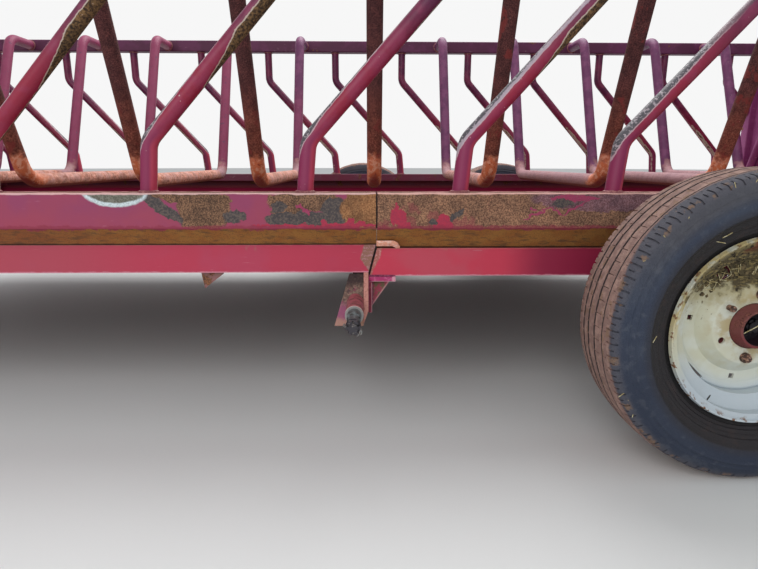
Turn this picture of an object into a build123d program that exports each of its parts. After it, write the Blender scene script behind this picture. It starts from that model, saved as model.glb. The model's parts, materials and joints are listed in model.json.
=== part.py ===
from build123d import *
from math import atan2, degrees, hypot
import os

os.makedirs("parts", exist_ok=True)

# Hay feeder wagon, millimetres. X runs from the tow end to the rear, Y across the wagon, Z up.
# The origin is on the ground, halfway along and across. The near side is at negative Y.

# Body: two equal sections that butt at the seam
bar_spacing = 406.4
bars_per_section = 6
section_length = bars_per_section * bar_spacing
seam_gap = 2.0
nose_reach = 1302.0
seam_x = nose_reach / 2
front_x = seam_x - section_length
rear_x = seam_x + section_length

# Sill: one folded sheet with a top flange, an outer face and an inner lip
sill_top = 648.0
sill_width = 100.0
sill_outer = 1106.0
sill_face = 89.0
sill_lip = 40.0
sheet = 3.0
sill_inner = sill_outer - sill_width
face_bottom = sill_top - sill_face

# Pan and lower rails, the front pair a little higher than the rear pair
floor_z = 499.0
front_lift = 10.0
pan_hem = 15.0
rail_height = 76.2
rail_width = 50.8
rail_wall = 4.8
rail_setback = 106.0
rail_inner = sill_outer - rail_setback
rail_outer = rail_inner + rail_width
rail_y = rail_inner + rail_width / 2
rail_slant_cut = 20.0
channel_flange = 38.1
channel_wall = 5.0
channel_bays = 4
channel_setback = 278.4
splice_length = 240.0
splice_height = 60.0
splice_thickness = 6.0
gusset_setback = 481.0
gusset_length = 70.0
gusset_drop = 48.0
gusset_lean = 8.0
gusset_tip = 5.0
gusset_thickness = 10.0

# Upper frame
top_rail = 63.5
top_rail_wall = 4.0
top_rail_corner = 6.0
top_rail_z = 1402.0
frame_setback = 50.25
frame_y = sill_outer - frame_setback
rail_under = top_rail_z - top_rail / 2
post_x = section_length - top_rail / 2
panel_gap = 112.25
panel_top = rail_under - panel_gap
panel_hem = 25.0

# Slant bars: a short leaning post, a slope of one spacing, and a stub under the top rail
slant_od = 42.2
slant_first = -187.0
slant_post = 129.6
slant_lean = 12.3
slant_stub = 164.0
slant_bend = 60.0

# Cradle hoops, hung between the top rails
hoop_od = 50.8
hoop_end = frame_y - top_rail / 2
hoop_hook = 194.0
hoop_top_y = hoop_end - hoop_hook
hoop_run = 297.0
hoop_bottom_y = hoop_top_y - hoop_run
hoop_bottom_z = 658.4
hoop_top_bend = 75.0
hoop_bottom_bend = 95.0

# End braces, pipes that lean inside each end panel
brace_od = 42.2
brace_setback = 39.0
brace_foot_y = hoop_end - brace_setback
brace_run = 285.0
brace_clearance = 0.5
notch_clearance = 5.0

# Wheels
tyre_od = 718.0
tyre_width = 223.0
tread_half = 95.0
tread_drop = 9.0
sidewall = 12.0
bulge_radius = 285.0
bead_toe = 45.0
bead_throat = 55.0
bead_height = 12.0
bead_rise = 3.0
fit_gap = 0.2
wheel_clearance = 70.5
wheel_y = sill_outer + wheel_clearance + tyre_width / 2
axle_z = tyre_od / 2
axle_first = -57.0
axle_spacing = 918.0
bead_seat = 203.2
rim_flange = 218.0
rim_half = 87.0
rim_wall = 5.0
well_radius = 170.0
well_half = 36.0
well_side = 16.0
flange_width = 9.0
flange_curl = 3.0
disc_wall = 6.0
disc_lap = 1.0
disc_seat = 29.0
disc_dish = 2.0
disc_edge = 9.0
disc_bore = 54.5
disc_flat = 90.0
dish_half = 16.0
window_radius = 133.0
window_size = 12.0
window_count = 4
window_angle = 84.0
hand_hole_radius = 138.0
hand_hole_size = 17.0
hand_hole_angle = 119.0
crescent_radius = 155.0
crescent_length = 56.0
crescent_count = 4
crescent_angle = 46.0

# Spindles and hubs; axial places are measured out from the wagon's centre plane
spindle_od = 44.45
shoulder_inset = 68.0
shoulder_y = wheel_y - shoulder_inset
shoulder_od = 46.0
shoulder_width = 7.0
inner_journal = 34.92
outer_journal = 26.99
journal_step = wheel_y - 34.0
journal_taper = 2.0
running_gap = 0.3
shoulder_gap = 2.0
step_gap = 4.0
hub_start = shoulder_y + shoulder_gap
hub_step = journal_step + step_gap
hub_cup_floor = wheel_y + 18.0
hub_end = wheel_y + 62.0
hub_barrel = 96.0
hub_nose = 90.0
hub_cup = 78.0
hub_flange = 178.0
hub_flange_thickness = 12.0
pilot_od = 106.0
pilot_height = 8.0
stud_circle = 152.4
stud_hole = 16.0
bare_stud_angle = 207.0
washer_od = 36.0
washer_thickness = 3.0
nut_flats = 31.0
nut_height = 17.0
nut_slot = 5.0
nut_slot_depth = 10.0
spindle_tip = wheel_y + 42.0
tip_od = 23.0

# Axle legs under the rails
leg_plate = 13.0
leg_sheet = 8.0
leg_spread = 89.2
leg_outer = rail_outer + leg_spread
leg_drop = 54.0
leg_front_top = -3.0
leg_front_bottom = 54.0
leg_edge = 6.0
leg_backing = 10.0
leg_backing_height = 88.0
leg_gusset_length = 43.0
leg_gusset_height = 74.0
pad_length = 74.0
pad_thickness = 16.0

# Tongue, hitch and jack
beam_height = 76.2
beam_width = 50.8
beam_wall = 5.0
beam_grip = 648.4
beam_rear_x = front_x + beam_grip
beam_rear_y = 700.0
beam_nose_y = 52.0
nose_plate = 12.7
nose_plate_width = 190.0
clevis_plate = 12.7
clevis_length = 87.7
clevis_gap = 38.1
clevis_width = 90.0
pin_hole = 27.0
pin_setback = 38.0
tip_x = front_x - nose_reach
nose_x = tip_x + clevis_length + nose_plate
cross_bar_setback = 340.0
cross_bar_x = nose_x + cross_bar_setback
cross_bar_width = 50.8
jack_setback = 85.0
pivot_x = cross_bar_x + jack_setback
pivot_z = 480.0
jack_od = 57.0
jack_wall = 4.0
jack_above = 260.0
jack_below = 210.0
slide_gap = 0.5
leg_top = 470.0
foot_length = 150.0
foot_width = 110.0
foot_thickness = 8.0
foot_corner = 12.0
ear_gap = 16.0
ear_thickness = 12.0
ear_pin = 30.0
ear_socket = 56.0
crank_rod = 14.0
crank_rise = 30.0
crank_reach = 130.0
crank_grip = 95.0


def keep(piece, name):
    """Label a finished piece and write its STEP file."""
    piece.label = name
    export_step(piece, f"parts/{name}.step")


def far_side(piece):
    """The same piece on the far side of the wagon."""
    return mirror(piece, about=Plane.XZ)


# Side sills, from the end sill to the seam
side_sills = (
    # name, start, end
    ("front", front_x + sill_width, seam_x - seam_gap / 2),
    ("rear", seam_x + seam_gap / 2, rear_x - sill_width),
)
for name, start, end in side_sills:
    with BuildPart() as sill:
        with BuildSketch(Plane.YZ.offset(start)):
            with BuildLine():
                Polyline(
                    (-sill_inner, sill_top - sill_lip),
                    (-sill_inner, sill_top),
                    (-sill_outer, sill_top),
                    (-sill_outer, face_bottom),
                )
                offset(amount=sheet, side=Side.LEFT, kind=Kind.INTERSECTION)
            make_face()
        extrude(amount=end - start)
    keep(sill.part, f"sill_near_{name}")
    keep(far_side(sill.part), f"sill_far_{name}")

# End sills, full width, with a cap at each end in line with the side sills' faces
with BuildPart() as end_sill:
    with BuildSketch(Plane.XZ):
        with BuildLine():
            Polyline(
                (rear_x, face_bottom),
                (rear_x, sill_top),
                (rear_x - sill_width, sill_top),
                (rear_x - sill_width, sill_top - sill_lip),
            )
            offset(amount=sheet, side=Side.LEFT, kind=Kind.INTERSECTION)
        make_face()
    extrude(amount=sill_outer, both=True)
    for side in (-1, 1):
        with Locations((rear_x - sill_width / 2, side * (sill_outer - sheet / 2), sill_top - sill_face / 2)):
            Box(sill_width, sheet, sill_face)
keep(end_sill.part, "sill_end_rear")
keep(mirror(end_sill.part, about=Plane.YZ.offset(seam_x)), "sill_end_front")

# Pans, rails and cross-members, section by section
channel_stations = [bay * section_length / channel_bays for bay in range(channel_bays)]
sections = (
    # name, outer end, direction from there to the seam, height of the floor
    ("front", front_x, 1, floor_z + front_lift),
    ("rear", rear_x, -1, floor_z),
)
for name, end, inward, floor in sections:
    pan_length = section_length - sheet - seam_gap / 2
    pan_edge = sill_outer - sheet
    pan_foot = pan_edge - (face_bottom - floor)
    pan_plane = Plane.YZ.offset(end + inward * sheet)
    with BuildPart() as pan:
        with BuildSketch(pan_plane):
            with BuildLine():
                Polyline(
                    (-pan_edge, face_bottom + pan_hem),
                    (-pan_edge, face_bottom),
                    (-pan_foot, floor),
                    (pan_foot, floor),
                    (pan_edge, face_bottom),
                    (pan_edge, face_bottom + pan_hem),
                )
                offset(amount=sheet, side=Side.LEFT, kind=Kind.INTERSECTION)
            make_face()
        extrude(amount=inward * pan_length)
        with BuildSketch(pan_plane):
            Polygon(
                (-pan_edge, face_bottom + pan_hem),
                (-pan_edge, face_bottom),
                (-pan_foot, floor),
                (pan_foot, floor),
                (pan_edge, face_bottom),
                (pan_edge, face_bottom + pan_hem),
                align=None,
            )
        extrude(amount=inward * sheet)
    keep(pan.part, f"pan_{name}")

    with BuildPart() as rail:
        with BuildSketch(Plane.YZ.offset(end)):
            with Locations((-rail_y, floor - rail_height / 2)):
                Rectangle(rail_width, rail_height)
                Rectangle(rail_width - 2 * rail_wall, rail_height - 2 * rail_wall, mode=Mode.SUBTRACT)
        extrude(amount=inward * (section_length + 2 * rail_slant_cut))
        split(
            bisect_by=Plane(
                origin=(seam_x - inward * seam_gap / 2, 0, floor_z + front_lift),
                x_dir=(0, 1, 0),
                z_dir=(-inward * rail_height, 0, inward * rail_slant_cut),
            ),
            keep=Keep.TOP,
        )
    keep(rail.part, f"rail_near_{name}")
    keep(far_side(rail.part), f"rail_far_{name}")

    with BuildPart() as channels:
        for station in (*channel_stations, section_length - channel_setback):
            web_x = end + inward * station
            with BuildSketch(Plane.XZ):
                with BuildLine():
                    Polyline(
                        (web_x + inward * channel_flange, floor),
                        (web_x, floor),
                        (web_x, floor - rail_height),
                        (web_x + inward * channel_flange, floor - rail_height),
                    )
                    offset(
                        amount=channel_wall,
                        side=Side.LEFT if inward > 0 else Side.RIGHT,
                        kind=Kind.INTERSECTION,
                    )
                make_face()
            extrude(amount=rail_inner, both=True)
    keep(channels.part, f"cross_members_{name}")

# Splice plates on the rails' inner faces, across the seam
with BuildPart() as splice:
    for side in (-1, 1):
        with Locations((seam_x, side * (rail_inner - splice_thickness / 2), floor_z - rail_height / 2)):
            Box(splice_length, splice_thickness, splice_height)
keep(splice.part, "splice_plates")

# Small gussets with rounded tips under the front rails
with BuildPart() as gussets:
    gusset_x = seam_x - gusset_setback
    gusset_top = floor_z + front_lift - rail_height
    with BuildSketch(Plane.XZ.offset(rail_y - gusset_thickness / 2)) as gusset_outline:
        Polygon(
            (gusset_x, gusset_top),
            (gusset_x + gusset_length, gusset_top),
            (gusset_x + gusset_lean, gusset_top - gusset_drop),
            align=None,
        )
        fillet(gusset_outline.vertices().sort_by(Axis.Z)[0], gusset_tip)
    extrude(amount=gusset_thickness)
    mirror(about=Plane.XZ)
keep(gussets.part, "rail_gussets")

# Top rails and corner posts
with BuildPart() as long_rail:
    with BuildSketch(Plane.YZ.offset(front_x)):
        with Locations((-frame_y, top_rail_z)):
            RectangleRounded(top_rail, top_rail, top_rail_corner)
            Rectangle(top_rail - 2 * top_rail_wall, top_rail - 2 * top_rail_wall, mode=Mode.SUBTRACT)
    extrude(amount=2 * section_length)
keep(long_rail.part, "top_rail_near")
keep(far_side(long_rail.part), "top_rail_far")

with BuildPart() as end_rails:
    for x in (seam_x - post_x, seam_x + post_x):
        with BuildSketch(Plane.XZ):
            with Locations((x, top_rail_z)):
                RectangleRounded(top_rail, top_rail, top_rail_corner)
        extrude(amount=hoop_end, both=True)
keep(end_rails.part, "top_rails_end")

with BuildPart() as posts:
    with BuildSketch(Plane.XY.offset(sill_top)):
        with Locations((seam_x, 0)):
            with GridLocations(2 * post_x, 2 * frame_y, 2, 2):
                RectangleRounded(top_rail, top_rail, top_rail_corner)
    extrude(amount=rail_under - sill_top)
keep(posts.part, "corner_posts")

# End panels between the posts, with a folded top edge
with BuildPart() as end_panel:
    panel_x = seam_x + post_x
    with BuildSketch(Plane.XZ):
        with BuildLine():
            Polyline(
                (panel_x + sheet / 2, sill_top),
                (panel_x + sheet / 2, panel_top),
                (panel_x + sheet / 2 - panel_hem, panel_top),
            )
            offset(amount=sheet, side=Side.LEFT, kind=Kind.INTERSECTION)
        make_face()
    extrude(amount=hoop_end, both=True)

# Braces: each starts and ends past its seat and is cut off level with the sill and the end rail
brace_x = panel_x - sheet / 2 - brace_clearance - brace_od / 2
brace_rise = rail_under - sill_top
brace_length = hypot(brace_rise, brace_run)
brace_angle = degrees(atan2(brace_run, brace_rise))
with BuildPart() as braces:
    for x in (brace_x, 2 * seam_x - brace_x):
        for side in (-1, 1):
            middle = (x, side * (brace_foot_y - brace_run / 2), (sill_top + rail_under) / 2)
            with Locations(Location(middle, (side * brace_angle, 0, 0))):
                Cylinder(brace_od / 2, brace_length + 2 * brace_od)
    split(bisect_by=Plane.XY.offset(sill_top), keep=Keep.TOP)
    split(bisect_by=Plane.XY.offset(rail_under), keep=Keep.BOTTOM)
with BuildPart() as notched_panel:
    add(end_panel.part)
    for side in (-1, 1):
        hem_y = side * (brace_foot_y - brace_run * (panel_top - sill_top) / brace_rise)
        with Locations((panel_x - sheet / 2 - panel_hem / 2, hem_y, panel_top)):
            Box(panel_hem, brace_od + 2 * notch_clearance, 4 * sheet, mode=Mode.SUBTRACT)
keep(notched_panel.part, "end_panel_rear")
keep(mirror(notched_panel.part, about=Plane.YZ.offset(seam_x)), "end_panel_front")
keep(braces.part, "end_braces")

# Slant bars: one bar swept, repeated each spacing, and cut off where the corner posts stand
with BuildPart() as slant_bar:
    overrun = slant_od / slant_post
    with BuildLine(Plane.XZ.offset(frame_y)) as slant_path:
        FilletPolyline(
            (-slant_lean * overrun, sill_top - slant_post * overrun),
            (slant_lean, sill_top + slant_post),
            (bar_spacing, rail_under - slant_stub),
            (bar_spacing, rail_under + slant_od),
            radius=slant_bend,
        )
    with BuildSketch(Plane(origin=slant_path.line @ 0, z_dir=slant_path.line % 0)):
        Circle(slant_od / 2)
    sweep()
    split(bisect_by=Plane.XY.offset(sill_top), keep=Keep.TOP)
    split(bisect_by=Plane.XY.offset(rail_under), keep=Keep.BOTTOM)
with BuildPart() as slants:
    for step in range(-bars_per_section, bars_per_section + 1):
        with Locations((seam_x + slant_first + step * bar_spacing, 0, 0)):
            add(slant_bar.part)
    split(bisect_by=Plane.YZ.offset(front_x + top_rail), keep=Keep.TOP)
    split(bisect_by=Plane.YZ.offset(rear_x - top_rail), keep=Keep.BOTTOM)
keep(slants.part, "slants_near")
keep(slants.part.rotate(Axis((seam_x, 0, 0), (0, 0, 1)), 180), "slants_far")

# Cradle hoops
with BuildPart() as hoop:
    with BuildLine(Plane.YZ) as hoop_path:
        FilletPolyline(
            (-hoop_end, top_rail_z),
            (-hoop_top_y, top_rail_z),
            (-hoop_bottom_y, hoop_bottom_z),
            (hoop_bottom_y, hoop_bottom_z),
            (hoop_top_y, top_rail_z),
            (hoop_end, top_rail_z),
            radius=(hoop_top_bend, hoop_bottom_bend, hoop_bottom_bend, hoop_top_bend),
        )
    with BuildSketch(Plane.XZ.offset(hoop_end)):
        with Locations((0, top_rail_z)):
            Circle(hoop_od / 2)
    sweep()
hoop_groups = (
    # name, first and last step from the seam
    ("front", 1 - bars_per_section, -1),
    ("rear", 0, bars_per_section - 1),
)
for name, first, last in hoop_groups:
    with BuildPart() as hoops:
        for step in range(first, last + 1):
            with Locations((seam_x + step * bar_spacing, 0, 0)):
                add(hoop.part)
    keep(hoops.part, f"hoops_{name}")

# Axle legs: a plate across the rail, a tapered sloping sheet, an inner hanger and a gusset to a pad
axles = (
    # name, place along X, underside of the rail there
    ("front", seam_x + axle_first, floor_z + front_lift - rail_height),
    ("rear", seam_x + axle_first + axle_spacing, floor_z - rail_height),
)
leg_bottom = axle_z - leg_drop
pad_under = floor_z - rail_height - pad_thickness
with BuildPart() as legs:
    for name, x, under in axles:
        plate_start = x + spindle_od / 2
        plate_end = plate_start + leg_plate
        with BuildSketch(Plane.YZ.offset(plate_start)):
            Polygon(
                (-rail_inner, under),
                (-rail_outer, under),
                (-leg_outer, leg_bottom),
                (-rail_inner, leg_bottom),
                align=None,
            )
        extrude(amount=leg_plate)
        slope = Vector(0, rail_outer - leg_outer, leg_bottom - under)
        slope_plane = Plane(
            origin=(x, -rail_outer, under),
            x_dir=(1, 0, 0),
            z_dir=Vector(1, 0, 0).cross(slope),
        ).offset(leg_edge)
        with BuildSketch(slope_plane):
            Polygon(
                (-leg_front_top, 0),
                (plate_start - x, 0),
                (plate_start - x, slope.length),
                (-leg_front_bottom, slope.length),
                align=None,
            )
        extrude(amount=leg_sheet)
        hanger_length = leg_front_bottom + plate_end - x
        with Locations((plate_end - hanger_length / 2, -rail_inner - leg_sheet / 2, (under + leg_bottom) / 2)):
            Box(hanger_length, leg_sheet, under - leg_bottom)
        backing_end = plate_end + leg_backing
        with Locations((plate_end + leg_backing / 2, -rail_y, pad_under - leg_backing_height / 2)):
            Box(leg_backing, rail_width, leg_backing_height)
        with BuildSketch(Plane.XZ.offset(rail_y - leg_sheet / 2)):
            Polygon(
                (backing_end, pad_under - leg_gusset_height),
                (backing_end, pad_under),
                (backing_end + leg_gusset_length, pad_under),
                align=None,
            )
        extrude(amount=leg_sheet)
        with Locations((plate_end + pad_length / 2, -rail_y, pad_under + pad_thickness / 2)):
            Box(pad_length, rail_width, pad_thickness)
        with BuildSketch(Plane.XZ.offset(rail_inner + leg_sheet)):
            with Locations((x, axle_z)):
                Circle(spindle_od / 2)
        extrude(amount=leg_outer - rail_inner, mode=Mode.SUBTRACT)
    mirror(about=Plane.XZ)
keep(legs.part, "axle_legs")

# Spindles: a tube out of the leg, a shoulder, two journals, a washer, a slotted nut and a threaded tip
washer_start = hub_cup_floor + running_gap
nut_start = washer_start + washer_thickness
with BuildPart() as spindle:
    with BuildSketch(Plane.YZ):
        Polygon(
            (-rail_inner - leg_sheet, 0),
            (-rail_inner - leg_sheet, spindle_od / 2),
            (-shoulder_y + shoulder_width, spindle_od / 2),
            (-shoulder_y + shoulder_width, shoulder_od / 2),
            (-shoulder_y, shoulder_od / 2),
            (-shoulder_y, inner_journal / 2),
            (-journal_step, inner_journal / 2),
            (-journal_step - journal_taper, outer_journal / 2),
            (-washer_start, outer_journal / 2),
            (-washer_start, washer_od / 2),
            (-nut_start, washer_od / 2),
            (-nut_start, tip_od / 2),
            (-spindle_tip, tip_od / 2),
            (-spindle_tip, 0),
            align=None,
        )
    revolve(axis=Axis.Y)
    with BuildSketch(Plane.XZ.offset(nut_start)):
        RegularPolygon(nut_flats / 2, 6, major_radius=False)
    extrude(amount=nut_height)
    with BuildSketch(Plane.XZ.offset(nut_start + nut_height / 2)):
        with PolarLocations(nut_flats / 2, 6, start_angle=30):
            Rectangle(nut_slot_depth, nut_slot)
    extrude(amount=nut_height / 2, mode=Mode.SUBTRACT)
with BuildPart() as spindles:
    for name, x, under in axles:
        with Locations((x, 0, axle_z)):
            add(spindle.part)
    mirror(about=Plane.XZ)
keep(spindles.part, "spindles")

# Wheels: hub, rim with its dished disc, and tyre, made on the near side about the Y axis; one stud is missing
disc_back = wheel_y + disc_seat
with BuildPart() as hub:
    with BuildSketch(Plane.YZ):
        Polygon(
            (-hub_start, inner_journal / 2 + running_gap),
            (-hub_start, hub_barrel / 2),
            (-disc_back + hub_flange_thickness, hub_barrel / 2),
            (-disc_back + hub_flange_thickness, hub_flange / 2),
            (-disc_back, hub_flange / 2),
            (-disc_back, pilot_od / 2),
            (-disc_back - pilot_height, pilot_od / 2),
            (-hub_end, hub_nose / 2),
            (-hub_end, hub_cup / 2),
            (-hub_cup_floor, hub_cup / 2),
            (-hub_cup_floor, outer_journal / 2 + running_gap),
            (-hub_step, outer_journal / 2 + running_gap),
            (-hub_step, inner_journal / 2 + running_gap),
            align=None,
        )
    revolve(axis=Axis.Y)
    with BuildSketch(Plane.XZ.offset(hub_start)):
        with PolarLocations(stud_circle / 2, 1, start_angle=bare_stud_angle):
            Circle(stud_hole / 2)
    extrude(amount=hub_end - hub_start, mode=Mode.SUBTRACT)

disc_rim = well_radius - rim_wall
with BuildPart() as rim:
    with BuildSketch(Plane.YZ):
        with BuildLine():
            Polyline(
                (-wheel_y - rim_half, rim_flange - flange_curl),
                (-wheel_y - rim_half + flange_width, rim_flange),
                (-wheel_y - rim_half + flange_width + rim_wall, bead_seat),
                (-wheel_y - well_half - well_side, bead_seat),
                (-wheel_y - well_half, well_radius),
                (-wheel_y + well_half, well_radius),
                (-wheel_y + well_half + well_side, bead_seat),
                (-wheel_y + rim_half - flange_width - rim_wall, bead_seat),
                (-wheel_y + rim_half - flange_width, rim_flange),
                (-wheel_y + rim_half, rim_flange - flange_curl),
            )
            offset(amount=rim_wall, side=Side.RIGHT, kind=Kind.INTERSECTION)
        make_face()
    revolve(axis=Axis.Y)
    with BuildSketch(Plane.YZ):
        with BuildLine():
            Polyline(
                (-disc_back, disc_bore),
                (-disc_back, disc_flat),
                (-wheel_y - disc_dish, window_radius - dish_half),
                (-wheel_y - disc_dish, window_radius + dish_half),
                (-wheel_y - disc_edge, disc_rim - disc_wall + disc_lap),
                (-wheel_y, disc_rim - disc_wall + disc_lap),
            )
            offset(amount=disc_wall, side=Side.LEFT)
        make_face()
    revolve(axis=Axis.Y)
    with BuildSketch(Plane.XZ.offset(wheel_y)):
        with PolarLocations(window_radius, window_count, start_angle=window_angle):
            Rectangle(window_size, window_size)
        with PolarLocations(hand_hole_radius, 1, start_angle=hand_hole_angle):
            Circle(hand_hole_size)
        with PolarLocations(stud_circle / 2, 1, start_angle=bare_stud_angle):
            Circle(stud_hole / 2)
    extrude(amount=2 * disc_seat, mode=Mode.SUBTRACT)
    with BuildSketch(Plane.XZ.offset(wheel_y)):
        with PolarLocations(crescent_radius, crescent_count, start_angle=crescent_angle):
            Rectangle(disc_rim - crescent_radius, crescent_length, align=(Align.MIN, Align.CENTER))
        Circle(disc_rim, mode=Mode.INTERSECT)
    extrude(amount=2 * disc_seat, mode=Mode.SUBTRACT)

bead_face = rim_half - flange_width - rim_wall - fit_gap
with BuildPart() as tyre:
    with BuildSketch(Plane.YZ):
        with BuildLine():
            for side in (-1, 1):
                Polyline(
                    (-wheel_y + side * bead_throat, rim_flange + bead_height),
                    (-wheel_y + side * bead_toe, bead_seat + fit_gap),
                    (-wheel_y + side * bead_face, bead_seat + fit_gap),
                    (-wheel_y + side * bead_face, rim_flange + bead_rise),
                )
                ThreePointArc(
                    (-wheel_y + side * bead_face, rim_flange + bead_rise),
                    (-wheel_y + side * tyre_width / 2, bulge_radius),
                    (-wheel_y + side * tread_half, tyre_od / 2 - tread_drop),
                )
                ThreePointArc(
                    (-wheel_y + side * bead_throat, rim_flange + bead_height),
                    (-wheel_y + side * (tyre_width / 2 - sidewall), bulge_radius),
                    (-wheel_y + side * (tread_half - 2 * sidewall), tyre_od / 2 - tread_drop - sidewall),
                )
            ThreePointArc(
                (-wheel_y - tread_half, tyre_od / 2 - tread_drop),
                (-wheel_y, tyre_od / 2),
                (-wheel_y + tread_half, tyre_od / 2 - tread_drop),
            )
            Line(
                (-wheel_y - tread_half + 2 * sidewall, tyre_od / 2 - tread_drop - sidewall),
                (-wheel_y + tread_half - 2 * sidewall, tyre_od / 2 - tread_drop - sidewall),
            )
        make_face()
    revolve(axis=Axis.Y)

wheels = (
    # name, place along X, whether it stands on the far side
    ("near_rear", axles[1][1], False),
    ("far_front", axles[0][1], True),
    ("far_rear", axles[1][1], True),
)
for name, x, is_far in wheels:
    for piece, piece_name in ((hub, "hub"), (rim, "rim"), (tyre, "tyre")):
        placed = far_side(piece.part) if is_far else piece.part
        keep(placed.moved(Location((x, 0, axle_z))), f"{piece_name}_{name}")

# Tongue: two tubes that meet at the nose, under the first cross-members, with a bar between them
beam_top = floor_z + front_lift - rail_height
beam_z = beam_top - beam_height / 2
beam_slope = (beam_rear_y - beam_nose_y) / (beam_rear_x - nose_x)
with BuildPart() as tongue:
    for side in (-1, 1):
        start = Vector(beam_rear_x, side * beam_rear_y, beam_z)
        run = Vector(nose_x - beam_rear_x, side * (beam_nose_y - beam_rear_y), 0)
        with BuildSketch(Plane(origin=start, x_dir=(0, 0, 1), z_dir=run)):
            Rectangle(beam_height, beam_width)
            Rectangle(beam_height - 2 * beam_wall, beam_width - 2 * beam_wall, mode=Mode.SUBTRACT)
        extrude(amount=run.length + beam_width)
    split(bisect_by=Plane.YZ.offset(nose_x), keep=Keep.TOP)
    bar_half = beam_nose_y + cross_bar_setback * beam_slope
    with Locations((cross_bar_x, 0, beam_z)):
        Box(cross_bar_width, 2 * bar_half, beam_height)
keep(tongue.part, "tongue_frame")

# Hitch: a nose plate and a clevis with one vertical pin hole
with BuildPart() as hitch:
    pin_x = tip_x + pin_setback
    with Locations((nose_x - nose_plate / 2, 0, beam_z)):
        Box(nose_plate, nose_plate_width, beam_height + 2 * clevis_plate)
    for side in (-1, 1):
        low = beam_z + side * (clevis_gap + clevis_plate) / 2 - clevis_plate / 2
        with BuildSketch(Plane.XY.offset(low)):
            with Locations((tip_x + clevis_length / 2, 0)):
                Rectangle(clevis_length, clevis_width)
        extrude(amount=clevis_plate)
    fillet(hitch.edges().filter_by(Axis.Z).group_by(Axis.X)[0], pin_setback)
    with Locations((pin_x, 0, beam_z)):
        Cylinder(pin_hole / 2, beam_height, mode=Mode.SUBTRACT)
keep(hitch.part, "hitch_clevis")

# Jack mount: an ear on the cross bar with a stub that the jack's socket turns on
bar_front = cross_bar_x - cross_bar_width / 2
ear_y = jack_od / 2 + ear_gap
with BuildPart() as mount:
    with BuildSketch(Plane.XZ.offset(-ear_y)):
        Polygon(
            (bar_front, beam_top),
            (bar_front + cross_bar_width, beam_top),
            (pivot_x + ear_socket / 2, pivot_z - ear_socket / 2),
            (pivot_x + ear_socket / 2, pivot_z + ear_socket / 2),
            (pivot_x - ear_socket / 2, pivot_z + ear_socket / 2),
            align=None,
        )
    extrude(amount=-ear_thickness)
    with BuildSketch(Plane.XZ.offset(-ear_y)):
        with Locations((pivot_x, pivot_z)):
            Circle(ear_pin / 2)
    extrude(amount=ear_gap - running_gap)
keep(mount.part, "jack_mount")

# Jack: outer tube with a socket, sliding leg with a foot, and a crank on top
tube_bottom = pivot_z - jack_below
tube_top = pivot_z + jack_above
with BuildPart() as jack_tube:
    with BuildSketch(Plane.XY.offset(tube_bottom)):
        with Locations((pivot_x, 0)):
            Circle(jack_od / 2)
    extrude(amount=tube_top - tube_bottom)
    with BuildSketch(Plane.XZ):
        with Locations((pivot_x, pivot_z)):
            Circle(ear_socket / 2)
    extrude(amount=-(ear_y - running_gap))
    with BuildSketch(Plane.XY.offset(tube_bottom)):
        with Locations((pivot_x, 0)):
            Circle(jack_od / 2 - jack_wall)
    extrude(amount=tube_top - tube_bottom - jack_wall, mode=Mode.SUBTRACT)
    with BuildSketch(Plane.XZ.offset(-jack_od / 2)):
        with Locations((pivot_x, pivot_z)):
            Circle(ear_pin / 2 + running_gap)
    extrude(amount=-ear_gap, mode=Mode.SUBTRACT)
keep(jack_tube.part, "jack_tube")

with BuildPart() as jack_leg:
    with BuildSketch():
        with Locations((pivot_x, 0)):
            RectangleRounded(foot_length, foot_width, foot_corner)
    extrude(amount=foot_thickness)
    with BuildSketch(Plane.XY.offset(foot_thickness)):
        with Locations((pivot_x, 0)):
            Circle(jack_od / 2 - jack_wall - slide_gap)
    extrude(amount=leg_top - foot_thickness)
keep(jack_leg.part, "jack_leg")

with BuildPart() as crank:
    with BuildLine(Plane.XZ) as crank_path:
        FilletPolyline(
            (pivot_x, tube_top),
            (pivot_x, tube_top + crank_rise),
            (pivot_x + crank_reach, tube_top + crank_rise),
            (pivot_x + crank_reach, tube_top + crank_rise + crank_grip),
            radius=crank_rod,
        )
    with BuildSketch(Plane.XY.offset(tube_top)):
        with Locations((pivot_x, 0)):
            Circle(crank_rod / 2)
    sweep()
keep(crank.part, "jack_crank")
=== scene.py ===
"""Looks of a worn hay feeder wagon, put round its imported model. Every length is in metres."""

import json
import math
import random

import bmesh
import bpy
from mathutils import Matrix, Vector, noise


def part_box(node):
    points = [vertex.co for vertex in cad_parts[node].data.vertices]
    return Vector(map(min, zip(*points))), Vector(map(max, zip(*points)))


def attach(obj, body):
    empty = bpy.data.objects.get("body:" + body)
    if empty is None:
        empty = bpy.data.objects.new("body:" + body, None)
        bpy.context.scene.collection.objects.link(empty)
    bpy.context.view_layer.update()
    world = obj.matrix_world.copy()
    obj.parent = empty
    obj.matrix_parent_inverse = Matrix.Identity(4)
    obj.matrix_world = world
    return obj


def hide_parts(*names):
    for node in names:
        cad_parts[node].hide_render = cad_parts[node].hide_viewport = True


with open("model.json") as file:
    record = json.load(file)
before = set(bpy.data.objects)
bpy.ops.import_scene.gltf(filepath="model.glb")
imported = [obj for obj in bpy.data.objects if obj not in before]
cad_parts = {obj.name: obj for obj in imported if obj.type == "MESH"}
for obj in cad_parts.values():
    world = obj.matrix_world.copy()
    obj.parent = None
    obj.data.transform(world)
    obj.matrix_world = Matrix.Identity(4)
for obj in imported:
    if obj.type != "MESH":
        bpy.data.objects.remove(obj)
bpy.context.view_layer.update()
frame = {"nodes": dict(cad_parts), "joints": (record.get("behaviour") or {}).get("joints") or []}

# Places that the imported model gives
SEAM_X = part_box("rail_near_front")[1].x + 0.001
SILL_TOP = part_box("sill_near_front")[1].z
SILL_FACE = -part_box("sill_near_front")[0].y
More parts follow.
